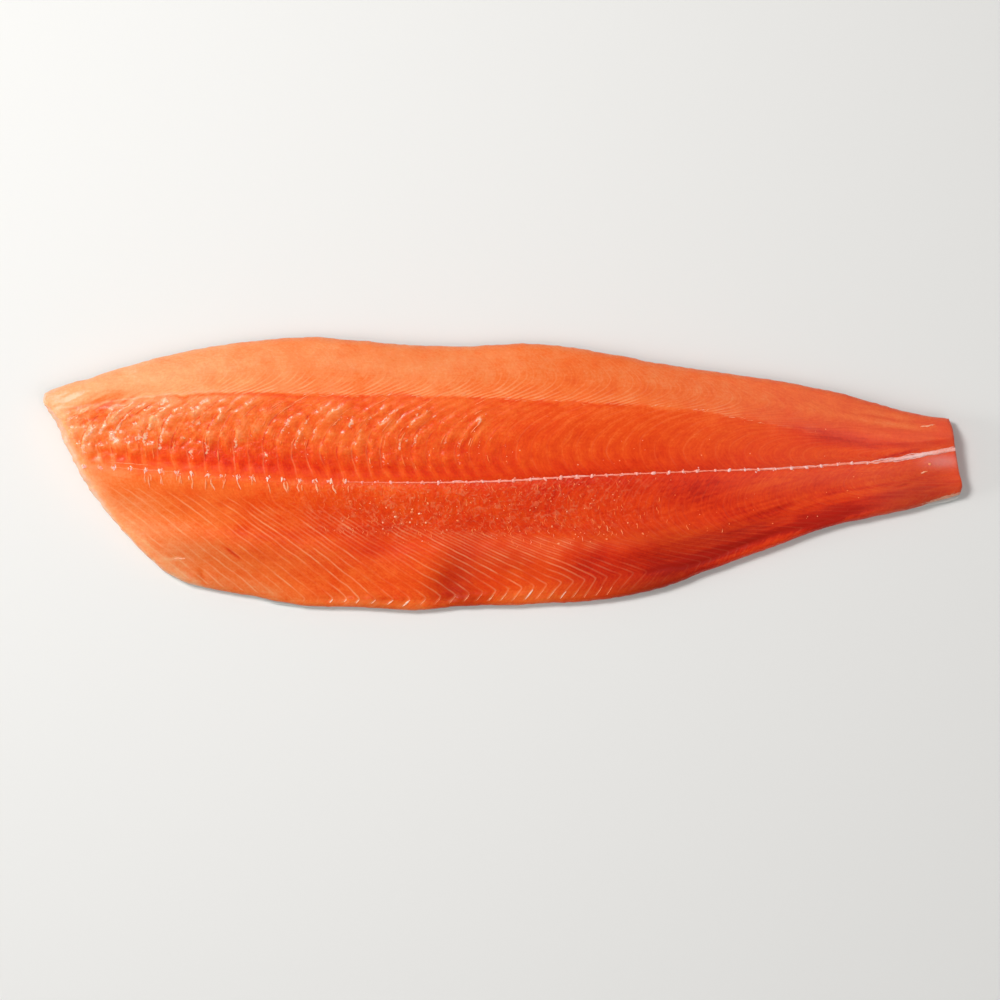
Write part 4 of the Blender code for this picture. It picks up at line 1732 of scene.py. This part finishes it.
class TissueTree:
    """A geometry tree with named inputs, run on an object and baked to a plain mesh."""

    def __init__(self, name: str, inputs: dict[str, tuple[str, float]]) -> None:
        """Starts the tree.

        Args:
            name: The tree's name.
            inputs: Name of each input to its socket type and default.
        """
        self.tree = bpy.data.node_groups.new(name, "GeometryNodeTree")
        new_socket = self.tree.interface.new_socket
        new_socket("Geometry", in_out="INPUT", socket_type="NodeSocketGeometry")
        new_socket("Geometry", in_out="OUTPUT", socket_type="NodeSocketGeometry")
        for label, (kind, default) in inputs.items():
            new_socket(label, in_out="INPUT", socket_type=kind).default_value = default
        new_socket("Material", in_out="INPUT", socket_type="NodeSocketMaterial")
        self.given = add(self.tree, "NodeGroupInput").outputs

    def roughened(self, geometry: NodeSocket) -> NodeSocket:
        """Moves points by seeded noise, so that no two places look the same.

        Args:
            geometry: What is moved.

        Returns:
            The moved geometry.
        """
        place = add(self.tree, "GeometryNodeInputPosition").outputs["Position"]
        stretch = calc(self.tree, "DIVIDE", 1.0, self.given["Grain"])
        noise = {"Vector": place, "W": self.given["Seed"], "Scale": stretch, "Detail": 1.0}
        shift = add(self.tree, "ShaderNodeTexNoise", noise, noise_dimensions="4D").outputs["Color"]
        for inputs, operation in (
            ({1: (0.5, 0.5, 0.5)}, "SUBTRACT"), ({"Scale": self.given["Waver"]}, "SCALE"),
        ):
            inputs = {0: shift, **inputs}
            shift = add(self.tree, "ShaderNodeVectorMath", inputs, operation=operation).outputs[0]
        moved = add(self.tree, "GeometryNodeSetPosition", {"Geometry": geometry, "Offset": shift})
        return moved.outputs["Geometry"]

    def finish(self, geometry: NodeSocket) -> None:
        """Ends the tree: smooth shading, real geometry and the material.

        Args:
            geometry: What the tree has made.
        """
        smooth = add(self.tree, "GeometryNodeSetShadeSmooth", {"Geometry": geometry})
        real = add(self.tree, "GeometryNodeRealizeInstances", {"Geometry": smooth.outputs["Geometry"]})
        dressed = add(
            self.tree, "GeometryNodeSetMaterial",
            {"Geometry": real.outputs["Geometry"], "Material": self.given["Material"]},
        )
        add(self.tree, "NodeGroupOutput", {"Geometry": dressed.outputs["Geometry"]})

    def run(self, piece: Object, values: dict) -> Object:
        """Runs the tree on an object and bakes the result.

        Args:
            piece: Object whose mesh feeds the tree.
            values: Input name to value.

        Returns:
            The same object with the result as its mesh.
        """
        modifier = piece.modifiers.new(self.tree.name, "NODES")
        modifier.node_group = self.tree
        for item in self.tree.interface.items_tree:
            if item.in_out == "INPUT" and item.name in values:
                modifier[item.identifier] = values[item.name]
        graph = bpy.context.evaluated_depsgraph_get()
        mesh = bpy.data.meshes.new_from_object(piece.evaluated_get(graph))
        piece.modifiers.clear()
        source, piece.data = piece.data, mesh
        bpy.data.meshes.remove(source)
        mesh.name = piece.name
        return piece


@dataclass
class Tissue:
    """Everything white on the flesh: thread, knots, bone ends, torn skins, fat strokes and crumbs."""

    fillet: Fillet
    seed: int = 5
    thread_radius: Curve = Curve((
        (-86, 0.20), (-60, 0.26), (-40, 0.36), (-20, 0.48), (25, 0.46), (60, 0.40), (120, 0.38),
        (150, 0.44), (180, 0.54), (206, 0.55), (215, 0.80), (228, 1.00), (240, 1.05), (247, 0.90),
    ))
    thread_pale: Curve = Curve((
        (-86, 0.10), (-50, 0.25), (-15, 0.45), (60, 0.40), (115, 0.30), (150, 0.35), (206, 0.45),
        (216, 0.75), (230, 0.95), (239, 0.60), (247, 0.70),
    ))
    knot_radius: Curve = Curve((
        (-230, 0.62), (-86, 0.68), (-30, 0.84), (15, 0.96), (60, 0.88), (110, 0.84), (150, 0.92),
        (205, 0.75),
    ))
    thread_ends: tuple[float, float] = (-85, 246.9)
    # Loose fibres beside the thread: from where to where, and how far they stray.
    loose_fibres: tuple[tuple[float, float, float], ...] = (
        (-30, 60, 0.5), (118, 170, 0.6), (135, 206, 0.8), (150, 212, 0.7), (205, 246, 1.3),
        (209, 246, -1.2),
    )
    # Bare fibres where there is no thread: from where to where, and how far above the midline.
    bare_fibres: tuple[tuple[float, float, float], ...] = ((-216, -176, 0.4), (-214, -190, 3.0))
    # Muscle lines, by count, that have a knot, a bone end, torn skins and a stroke of fat.
    knot_lines: range = range(-1, 51)
    bone_lines: range = range(-1, 17)
    torn_lines: range = range(0, 27)
    stroke_lines: range = range(2, 62)
    first_frayed_bone: int = 3
    # The frays at the edge of the back cap: how many, and from where to where.
    cap_frays: int = 60
    cap_range: tuple[float, float] = (-120, 150)
    # Strokes of fat: the height that tells their station, from where to where they lie, and where
    # they are bright, a brightness that is partly a painted highlight.
    stroke_height: float = -66.0
    stroke_range: tuple[float, float] = (-98, 62)
    bright_ranges: tuple[tuple[float, float], ...] = ((-98, -46), (10, 16), (28, 34))
    # Frayed bits: how many, from where to where, how far below the midline, and their whiteness.
    frayed_fields: tuple[tuple[float, ...], ...] = (
        (130, -100, 90, 2.0, 28.0, -0.2), (24, 0, 66, 27.0, 36.0, 0.2), (5, 84, 128, 26.0, 34.0, 0.1),
    )
    # Scrapes: where each starts, its run along the fish and its rise.
    scrapes: tuple[tuple[float, float, float, float], ...] = (
        (228, 0.4, 4.0, 0.9), (228, 25.4, 8.0, 1.2), (-179, -46.4, 7.0, 0.4),
    )
    # Crumbs: how many, from where to where, how far below the midline, and their size.
    crumb_fields: tuple[tuple[float, ...], ...] = (
        (130, -92, 66, 1.5, 33.0, 0.26), (14, -66, -14, 10.0, 27.0, 0.50),
        (14, 20, 84, 26.0, 37.0, 0.36), (60, -150, 10, -36.0, -8.0, 0.24),
        (16, 40, 190, -28.0, -4.0, 0.24), (18, 90, 200, 3.0, 30.0, 0.22),
    )
    clear_of_rim: float = 3.0
    # The first is a fleck of fat; the other two are pale lumps that stand for a cluster of glints, a
    # painted highlight.
    large_crumbs_and_glints: tuple[Bead, ...] = (
        Bead(233, 5.2, 0.9, 0.3), Bead(-58, -23.5, 0.55, 0.6), Bead(-50, -26.5, 0.5, 0.5),
    )
    strand_sides: int = 7
    strand_step: float = 0.55
    strand_lift: float = 0.10

    def __post_init__(self) -> None:
        """Draws the random numbers' source and builds the two trees."""
        self.random = np.random.default_rng(self.seed)
        self.draw = self.random.uniform
        self.strand_tree = self.make_strand_tree()
        self.bead_tree = self.make_bead_tree()

    def make_strand_tree(self) -> TissueTree:
        """Builds the tree that turns routes into flattened, uneven strings.

        Returns:
            The tree, which reads the attribute girth.
        """
        kit = TissueTree("strands", {
            "Sides": ("NodeSocketInt", self.strand_sides),
            "Step": ("NodeSocketFloat", self.strand_step * MM),
            "Waver": ("NodeSocketFloat", 0.0002), "Grain": ("NodeSocketFloat", 0.002),
            "Flatness": ("NodeSocketFloat", 0.6), "Seed": ("NodeSocketFloat", 0.0),
        })
        tree, given = kit.tree, kit.given
        route = add(tree, "GeometryNodeMeshToCurve", {"Mesh": given["Geometry"]}).outputs["Curve"]
        fine = add(
            tree, "GeometryNodeResampleCurve", {"Curve": route, "Length": given["Step"]}, mode="LENGTH",
        ).outputs["Curve"]
        level = add(
            tree, "GeometryNodeSetCurveNormal", {"Curve": kit.roughened(fine)}, mode="Z_UP",
        ).outputs["Curve"]
        circle = add(
            tree, "GeometryNodeCurvePrimitiveCircle", {"Resolution": given["Sides"], "Radius": 1.0},
        ).outputs["Curve"]
        squash = {"X": 1.0, "Y": given["Flatness"], "Z": 1.0}
        squash = add(tree, "ShaderNodeCombineXYZ", squash).outputs[0]
        oval = add(
            tree, "GeometryNodeTransform", {"Geometry": circle, "Scale": squash},
        ).outputs["Geometry"]
        radius = add(tree, "GeometryNodeInputNamedAttribute", {"Name": "girth"}).outputs["Attribute"]
        tube = add(
            tree, "GeometryNodeCurveToMesh",
            {"Curve": level, "Profile Curve": oval, "Scale": radius, "Fill Caps": True},
        ).outputs["Mesh"]
        kit.finish(tube)
        return kit

    def make_bead_tree(self) -> TissueTree:
        """Builds the tree that sets an uneven flattened lump on every point.

        Returns:
            The tree, which reads the attribute girth.
        """
        kit = TissueTree("beads", {
            "Waver": ("NodeSocketFloat", 0.0006), "Grain": ("NodeSocketFloat", 0.0012),
            "Flatness": ("NodeSocketFloat", 0.55), "Seed": ("NodeSocketFloat", 0.0),
        })
        tree, given = kit.tree, kit.given
        points = add(tree, "GeometryNodeMeshToPoints", {"Mesh": given["Geometry"]}).outputs["Points"]
        ball = add(tree, "GeometryNodeMeshIcoSphere", {"Radius": 1.0, "Subdivisions": 2})
        radius = add(tree, "GeometryNodeInputNamedAttribute", {"Name": "girth"}).outputs["Attribute"]
        longer = add(tree, "FunctionNodeRandomValue", {"Min": 0.8, "Max": 1.6}).outputs["Value"]
        wide = calc(tree, "MULTIPLY", radius, longer)
        low = calc(tree, "MULTIPLY", radius, given["Flatness"])
        size = add(tree, "ShaderNodeCombineXYZ", {"X": wide, "Y": radius, "Z": low}).outputs[0]
        turn = add(tree, "FunctionNodeRandomValue", {"Min": 0.0, "Max": math.tau, "Seed": 1})
        about = add(tree, "ShaderNodeCombineXYZ", {"Z": turn.outputs["Value"]}).outputs[0]
        lumps = add(
            tree, "GeometryNodeInstanceOnPoints",
            {"Points": points, "Instance": ball.outputs["Mesh"], "Scale": size, "Rotation": about},
        ).outputs["Instances"]
        real = add(tree, "GeometryNodeRealizeInstances", {"Geometry": lumps}).outputs["Geometry"]
        kit.finish(kit.roughened(real))
        return kit

    def route_mesh(self, name: str, strands: list[Strand]) -> Object:
        """Makes an object of bare edges along the strands' routes.

        Args:
            name: Its name.
            strands: The strands.

        Returns:
            The object, whose points carry their radius and whiteness.
        """
        places, edges, radii, pales = [], [], [], []
        for strand in strands:
            first = len(places)
            z = self.fillet.surface(strand.x, strand.y) + self.strand_lift
            places += (np.stack([strand.x, strand.y, z], axis=1) * MM).tolist()
            edges += [(first + i, first + i + 1) for i in range(len(strand.x) - 1)]
            radii += (strand.radius * MM).tolist()
            pales += (strand.pale + 0 * strand.x).tolist()
        return self.with_notes(name, places, edges, radii, pales)

    def point_mesh(self, name: str, beads: list[Bead]) -> Object:
        """Makes an object of bare points, one for each bead.

        Args:
            name: Its name.
            beads: The beads.

        Returns:
            The object, whose points carry their radius and whiteness.
        """
        x, y = np.array([bead.x for bead in beads]), np.array([bead.y for bead in beads])
        places = (np.stack([x, y, self.fillet.surface(x, y)], axis=1) * MM).tolist()
        return self.with_notes(
            name, places, [], [bead.radius * MM for bead in beads], [bead.pale for bead in beads],
        )

    @staticmethod
    def with_notes(
        name: str, places: list, edges: list, radii: list[float], pales: list[float]
    ) -> Object:
        """Makes an object whose points carry the attributes girth and pale.

        Args:
            name: Its name.
            places: Where its points are, in metres.
            edges: Pairs of points that are joined.
            radii: Radius at each point, in metres.
            pales: Whiteness at each point.

        Returns:
            The object.
        """
        mesh = bpy.data.meshes.new(name)
        mesh.from_pydata(places, edges, [])
        for label, values in (("girth", radii), ("pale", pales)):
            mesh.attributes.new(label, "FLOAT", "POINT").data.foreach_set("value", values)
        return put(name, mesh)

    def strings(
        self, name: str, strands: list[Strand], material: Material, waver: Waver, flatness: float
    ) -> Object:
        """Builds one piece from many strands.

        Args:
            name: The piece's name.
            strands: The strands.
            material: Their finish.
            waver: How far they stray.
            flatness: Their height over their width.

        Returns:
            The piece.
        """
        values = {"Waver": 2 * waver.value * MM, "Flatness": flatness}
        values |= {"Seed": float(self.seed), "Material": material}
        return self.strand_tree.run(self.route_mesh(name, strands), values)

    def lumps(self, name: str, beads: list[Bead], material: Material) -> Object:
        """Builds one piece from many beads."""
        values = {"Seed": float(self.seed), "Material": material}
        return self.bead_tree.run(self.point_mesh(name, beads), values)

    def line_strand(self, line: float, start: float, end: float, radius: float, pale: float) -> Strand:
        """Lays a strand along a muscle line.

        Args:
            line: Count of the line.
            start: Y where it starts.
            end: Y where it ends.
            radius: Radius at its thickest.
            pale: Its whiteness.

        Returns:
            The strand.
        """
        part = np.linspace(0, 1, 12)
        y = start + (end - start) * part
        x = self.fillet.myomeres.trace(line, y)
        return Strand(x, y, radius * self.taper(part), pale)

    def taper(self, part: Array) -> Array:
        """Returns an uneven thickness that dies away at both ends, for parts 0 to 1 of a strand."""
        return (0.12 + 0.88 * np.sin(np.pi * part) ** 0.7) * self.draw(0.6, 1.25, part.shape)

    def squiggle(self, x: float, y: float, length: float, radius: float, pale: float) -> Strand:
        """Lays a short wavy strand that hangs down from a place.

        Args:
            x: X of the place.
            y: Y of the place.
            length: How far it hangs down.
            radius: Radius at its thickest.
            pale: Its whiteness.

        Returns:
            The strand.
        """
        part = np.linspace(0, 1, 8)
        bend = self.draw(-0.6, 0.6) * np.sin(1.6 * np.pi * part)
        lean, drop = self.draw(-0.15, 0.35), length * part
        return Strand(x + bend + lean * drop, y - drop, radius * self.taper(part), pale)

    def scattered(self, fields: tuple[tuple[float, ...], ...]) -> Iterator[tuple[float, float, float]]:
        """Scatters random places over fields.

        Args:
            fields: How many places, from where to where, how far below the midline, and a number.

        Yields:
            X and Y of each place, and its field's last number.
        """
        for count, head, tail, top, bottom, note in fields:
            for _ in range(count):
                x = self.draw(head, tail)
                yield x, self.fillet.form.midline.at(x) - self.draw(top, bottom), note

    def build_thread(self, material: Material) -> Object:
        """Builds the white thread where the knife went along the backbone, and its loose fibres.

        Args:
            material: The piece's finish.

        Returns:
            The piece.
        """
        form, noise = self.fillet.form, self.fillet.relief.noise
        x = np.linspace(*self.thread_ends, 420)
        uneven = 1 + 0.45 * noise(x, 0 * x + 3, 2.2)
        strands = [Strand(x, form.midline(x), self.thread_radius(x) * uneven, self.thread_pale(x))]
        for start, end, spread in self.loose_fibres:
            x = np.linspace(start, end, 90)
            stray = spread * (0.4 + noise(x, 0 * x + start, 6.0))
            strands.append(Strand(x, form.midline(x) + stray, 0.24 + 0.12 * noise(x, 0 * x, 3.0), 0.8))
        return self.strings("midline_thread", strands, material, Waver.WAVY, 0.5)

    def build_knots(self, material: Material) -> Object:
        """Builds the knot at every bone: on the thread, and by itself where there is no thread.

        Args:
            material: The piece's finish.

        Returns:
            The piece.
        """
        myomeres, form, beads = self.fillet.myomeres, self.fillet.form, []
        for line in self.knot_lines:
            x = myomeres.station(line) + self.draw(-0.9, 0.9)
            radius = self.knot_radius.at(x) * self.draw(0.75, 1.15)
            y = form.midline.at(x)
            beads.append(Bead(x, y, radius, self.draw(0.5, 0.8) + (0.2 if x > 90 else 0.0)))
            for _ in range(3 if line > 15 else 6):
                reach = self.random.normal(0, 0.8, 2) * (1.1, 0.8)
                beads.append(Bead(
                    x + reach[0], y + reach[1], self.draw(0.25, 0.6) * radius,
                    self.draw(0.1, 0.8),
                ))
        return self.lumps("thread_knots", beads, material)

    def build_bone_ends(self, material: Material) -> Object:
        """Builds the bone ends along the head half of the midline, and the frayed bits under them.

        Args:
            material: The piece's finish.

        Returns:
            The piece.
        """
        myomeres, form, strands = self.fillet.myomeres, self.fillet.form, []
        for line in self.bone_lines:
            x = myomeres.station(line) + self.draw(-0.6, 0.6)
            y = form.midline.at(x)
            for _ in range(self.random.integers(2, 5)):
                place = x + self.draw(-1.4, 1.4), y + self.draw(0.2, 2.0)
                look = self.draw(1.2, 3.4), self.draw(0.24, 0.55), self.draw(0.3, 1.0)
                strands.append(self.squiggle(*place, *look))
            if line < self.first_frayed_bone:
                continue
            for _ in range(self.random.integers(1, 4)):
                place = x + self.draw(-1.5, 2.5), y - self.draw(0.5, 3.0)
                look = self.draw(2.5, 7.0), self.draw(0.32, 0.62), self.draw(0.1, 0.6)
                strands.append(self.squiggle(*place, *look))
        for start, end, stray in self.bare_fibres:
            x = np.linspace(start, end, 40)
            radius = 0.16 * self.taper(np.linspace(0, 1, 40))
            strands.append(Strand(x, form.midline(x) + stray, radius, 0.3))
        return self.strings("bone_ends", strands, material, Waver.WAVY, 0.4)

    def build_torn_tissue(self, material: Material) -> Object:
        """Builds the torn white skins of the muscle blocks that stand up on the loin, whose pale colour
        is partly a painted highlight for the glints on the flake edges.

        Args:
            material: The piece's finish.

        Returns:
            The piece.
        """
        myomeres, form, strands = self.fillet.myomeres, self.fillet.form, []
        for line in self.torn_lines:
            station = myomeres.station(line)
            middle, crest = form.midline.at(station), form.loin_line.at(station)
            for _ in range(self.random.integers(2, 5) if line < 24 else 2):
                share = self.draw(0.14, 0.92)
                start = middle + share * (crest - middle)
                end = min(start + self.draw(1.5, 8.0), crest - 1)
                strands.append(self.line_strand(
                    line + self.random.normal(0, 0.2), start, end,
                    self.draw(0.14, 0.42), self.draw(-0.5, 0.3),
                ))
        # The edge of the back cap is frayed too.
        for _ in range(self.cap_frays):
            x = self.draw(*self.cap_range) + np.linspace(0, self.draw(1.0, 4.0), 6)
            rise = self.draw(-0.2, 0.7) * (x - x[0])
            y = form.loin_line(x) + self.draw(-1.2, 0.8) + rise
            radius = self.draw(0.12, 0.26) * self.taper(np.linspace(0, 1, 6))
            strands.append(Strand(x, y, radius, self.draw(-0.1, 0.6)))
        return self.strings("torn_tissue_and_glints", strands, material, Waver.WAVY, 0.6)

    def build_seam(self, material: Material) -> Object:
        """Builds the frayed tissue below the thread and along the seam above the belly.

        Args:
            material: The piece's finish.

        Returns:
            The piece.
        """
        strands = []
        for x, y, pale in self.scattered(self.frayed_fields):
            look = self.draw(0.8, 3.4), self.draw(0.12, 0.28), pale + self.draw(-0.4, 0.3)
            strands.append(self.squiggle(x, y, *look))
        for x, y, run, rise in self.scrapes:
            part = np.linspace(0, 1, 8)
            strands.append(Strand(x + run * part, y + rise * part, 0.45 * self.taper(part), 0.5))
        return self.strings("frayed_seam", strands, material, Waver.RAGGED, 0.5)

    def build_belly_strokes(self, material: Material) -> Object:
        """Builds the short strokes of fat where the belly's lines turn back at its edge.

        Args:
            material: The piece's finish.

        Returns:
            The piece.
        """
        form, strands = self.fillet.form, []
        for line in self.stroke_lines:
            x = float(self.fillet.myomeres.trace(float(line), np.array([self.stroke_height]))[0])
            if not self.stroke_range[0] < x < self.stroke_range[1]:
                continue
            # The bright strokes are partly painted highlights.
            bright = any(start < x < end for start, end in self.bright_ranges)
            low = form.belly_edge.at(x) + self.draw(1.2, 2.4)
            high = min(form.turn_line.at(x) - 0.6, low + self.draw(2.5, 6.0))
            radius = self.draw(0.28, 0.48) if bright else self.draw(0.10, 0.26)
            pale = 0.75 if bright else self.draw(0.0, 0.5)
            strands.append(self.line_strand(float(line), high, low, radius, pale))
        return self.strings("belly_strokes", strands, material, Waver.CALM, 0.5)

    def build_crumbs(self, material: Material) -> Object:
        """Builds the crumbs of fat scattered over the grainy flesh.

        Args:
            material: The piece's finish.

        Returns:
            The piece.
        """
        beads = []
        for x, y, size in self.scattered(self.crumb_fields):
            if y < self.fillet.form.belly_edge.at(x) + self.clear_of_rim:
                continue
            radius = size * self.draw(0.5, 1.3)
            beads.append(Bead(x, y, radius, self.draw(-0.1, 0.65)))
        return self.lumps("fat_crumbs", beads + list(self.large_crumbs_and_glints), material)


# ------------------------------------------------------------------ the studio


@dataclass(frozen=True)
class AreaLight:
    """A softbox: where it hangs, its size and its power."""

    name: str
    place: tuple[float, float, float]
    size: float
    power: float
    reflects: bool = True


@dataclass(frozen=True)
class Studio:
    """A pale floor, soft lights and a camera that looks straight down."""

    floor_side: float = 3.0
    floor_colour: str = "#E9E8E5"
    floor_roughness: float = 0.9
    sky: float = 0.27
    lights: tuple[AreaLight, ...] = (
        AreaLight("key_light", (-0.70, 0.50, 1.40), 0.40, 18.0),
        AreaLight("fill_light", (0.7, -0.6, 1.5), 1.2, 4.5, reflects=False),
        AreaLight("head_light", (-2.6, -0.2, 0.9), 0.9, 20.0, reflects=False),
    )
    camera_height: float = 1.6
    fillet_middle: float = 0.012
    view_width: float = 0.54466
    view_centre: tuple[float, float] = (-0.0011, -0.0144)

    def build(self) -> None:
        """Adds the floor, the lights, the sky and the camera."""
        scene = bpy.context.scene
        scene.view_settings.view_transform = "Standard"
        world = bpy.data.worlds.new("studio")
        world.use_nodes = True
        world.node_tree.nodes["Background"].inputs["Color"].default_value = (1, 1, 1, 1)
        world.node_tree.nodes["Background"].inputs["Strength"].default_value = self.sky
        scene.world = world
        for light in self.lights:
            self.add_light(light)
        self.add_camera()
        self.add_floor()

    def add_light(self, light: AreaLight) -> None:
        """Hangs one softbox, turned to the middle of the fillet.

        Args:
            light: The softbox.
        """
        lamp = bpy.data.lights.new(light.name, "AREA")
        lamp.size = light.size
        lamp.energy = light.power
        holder = put(light.name, lamp)
        holder.visible_glossy = light.reflects
        holder.location = light.place
        holder.rotation_euler = (-Vector(light.place)).to_track_quat("-Z", "Y").to_euler()

    def add_camera(self) -> None:
        """Adds the camera above the fillet, looking straight down."""
        camera = bpy.data.cameras.new("camera")
        camera.sensor_width = 36.0
        camera.lens = camera.sensor_width * self.camera_height / self.view_width
        holder = put("camera", camera)
        holder.location = (*self.view_centre, self.camera_height + self.fillet_middle)
        bpy.context.scene.camera = holder

    def add_floor(self) -> None:
        """Adds the pale floor that the fillet lies on."""
        mesh = bpy.data.meshes.new("floor")
        shape = bmesh.new()
        bmesh.ops.create_grid(shape, x_segments=1, y_segments=1, size=self.floor_side / 2)
        shape.to_mesh(mesh)
        shape.free()
        material, tree, shader = new_material("pale_floor")
        feed(tree, shader, {
            "Base Color": srgb(self.floor_colour), "Roughness": self.floor_roughness,
        })
        mesh.materials.append(material)
        put("floor", mesh)


def hand_over(piece: Object, material: Material, node: str | None = None) -> None:
    """Dresses a finished piece and tells the frame what it is.

    Args:
        piece: The finished piece.
        material: Its finish.
        node: The CAD node that it stands for, if any.
    """
    piece.data.materials.clear()
    piece.data.materials.append(material)
    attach(piece, "root")
    if node:
        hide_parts(node)
    log.info("%s: %d faces", piece.name, len(piece.data.polygons))


def main() -> None:
    """Builds the fillet and its studio."""
    logging.basicConfig(level=logging.INFO, format="%(message)s")
    form = FilletForm()
    myomeres = Myomeres(form, SoftNoise(11))
    relief = Relief(form, myomeres, SoftNoise(23))
    fillet = Fillet(form, myomeres, relief, ToneMap(form, relief, SoftNoise(37)), Rim())
    Studio().build()
    hand_over(fillet.build_flesh(), FleshFinish().make(), "flesh")
    hand_over(fillet.build_skin(), SkinFinish().make(), "skin")
    fat = TissueFinish("pale_fat").make()
    pink = TissueFinish("pink_tissue", tinted="#FF7A4C", pink="#FF9C86", white="#F8CAC4").make()
    tissue = Tissue(fillet)
    for build, finish in (
        (tissue.build_thread, pink), (tissue.build_knots, pink), (tissue.build_bone_ends, fat),
        (tissue.build_torn_tissue, fat), (tissue.build_seam, fat), (tissue.build_belly_strokes, fat),
        (tissue.build_crumbs, fat),
    ):
        hand_over(build(finish), finish)


if __name__ == "__main__":
    main()
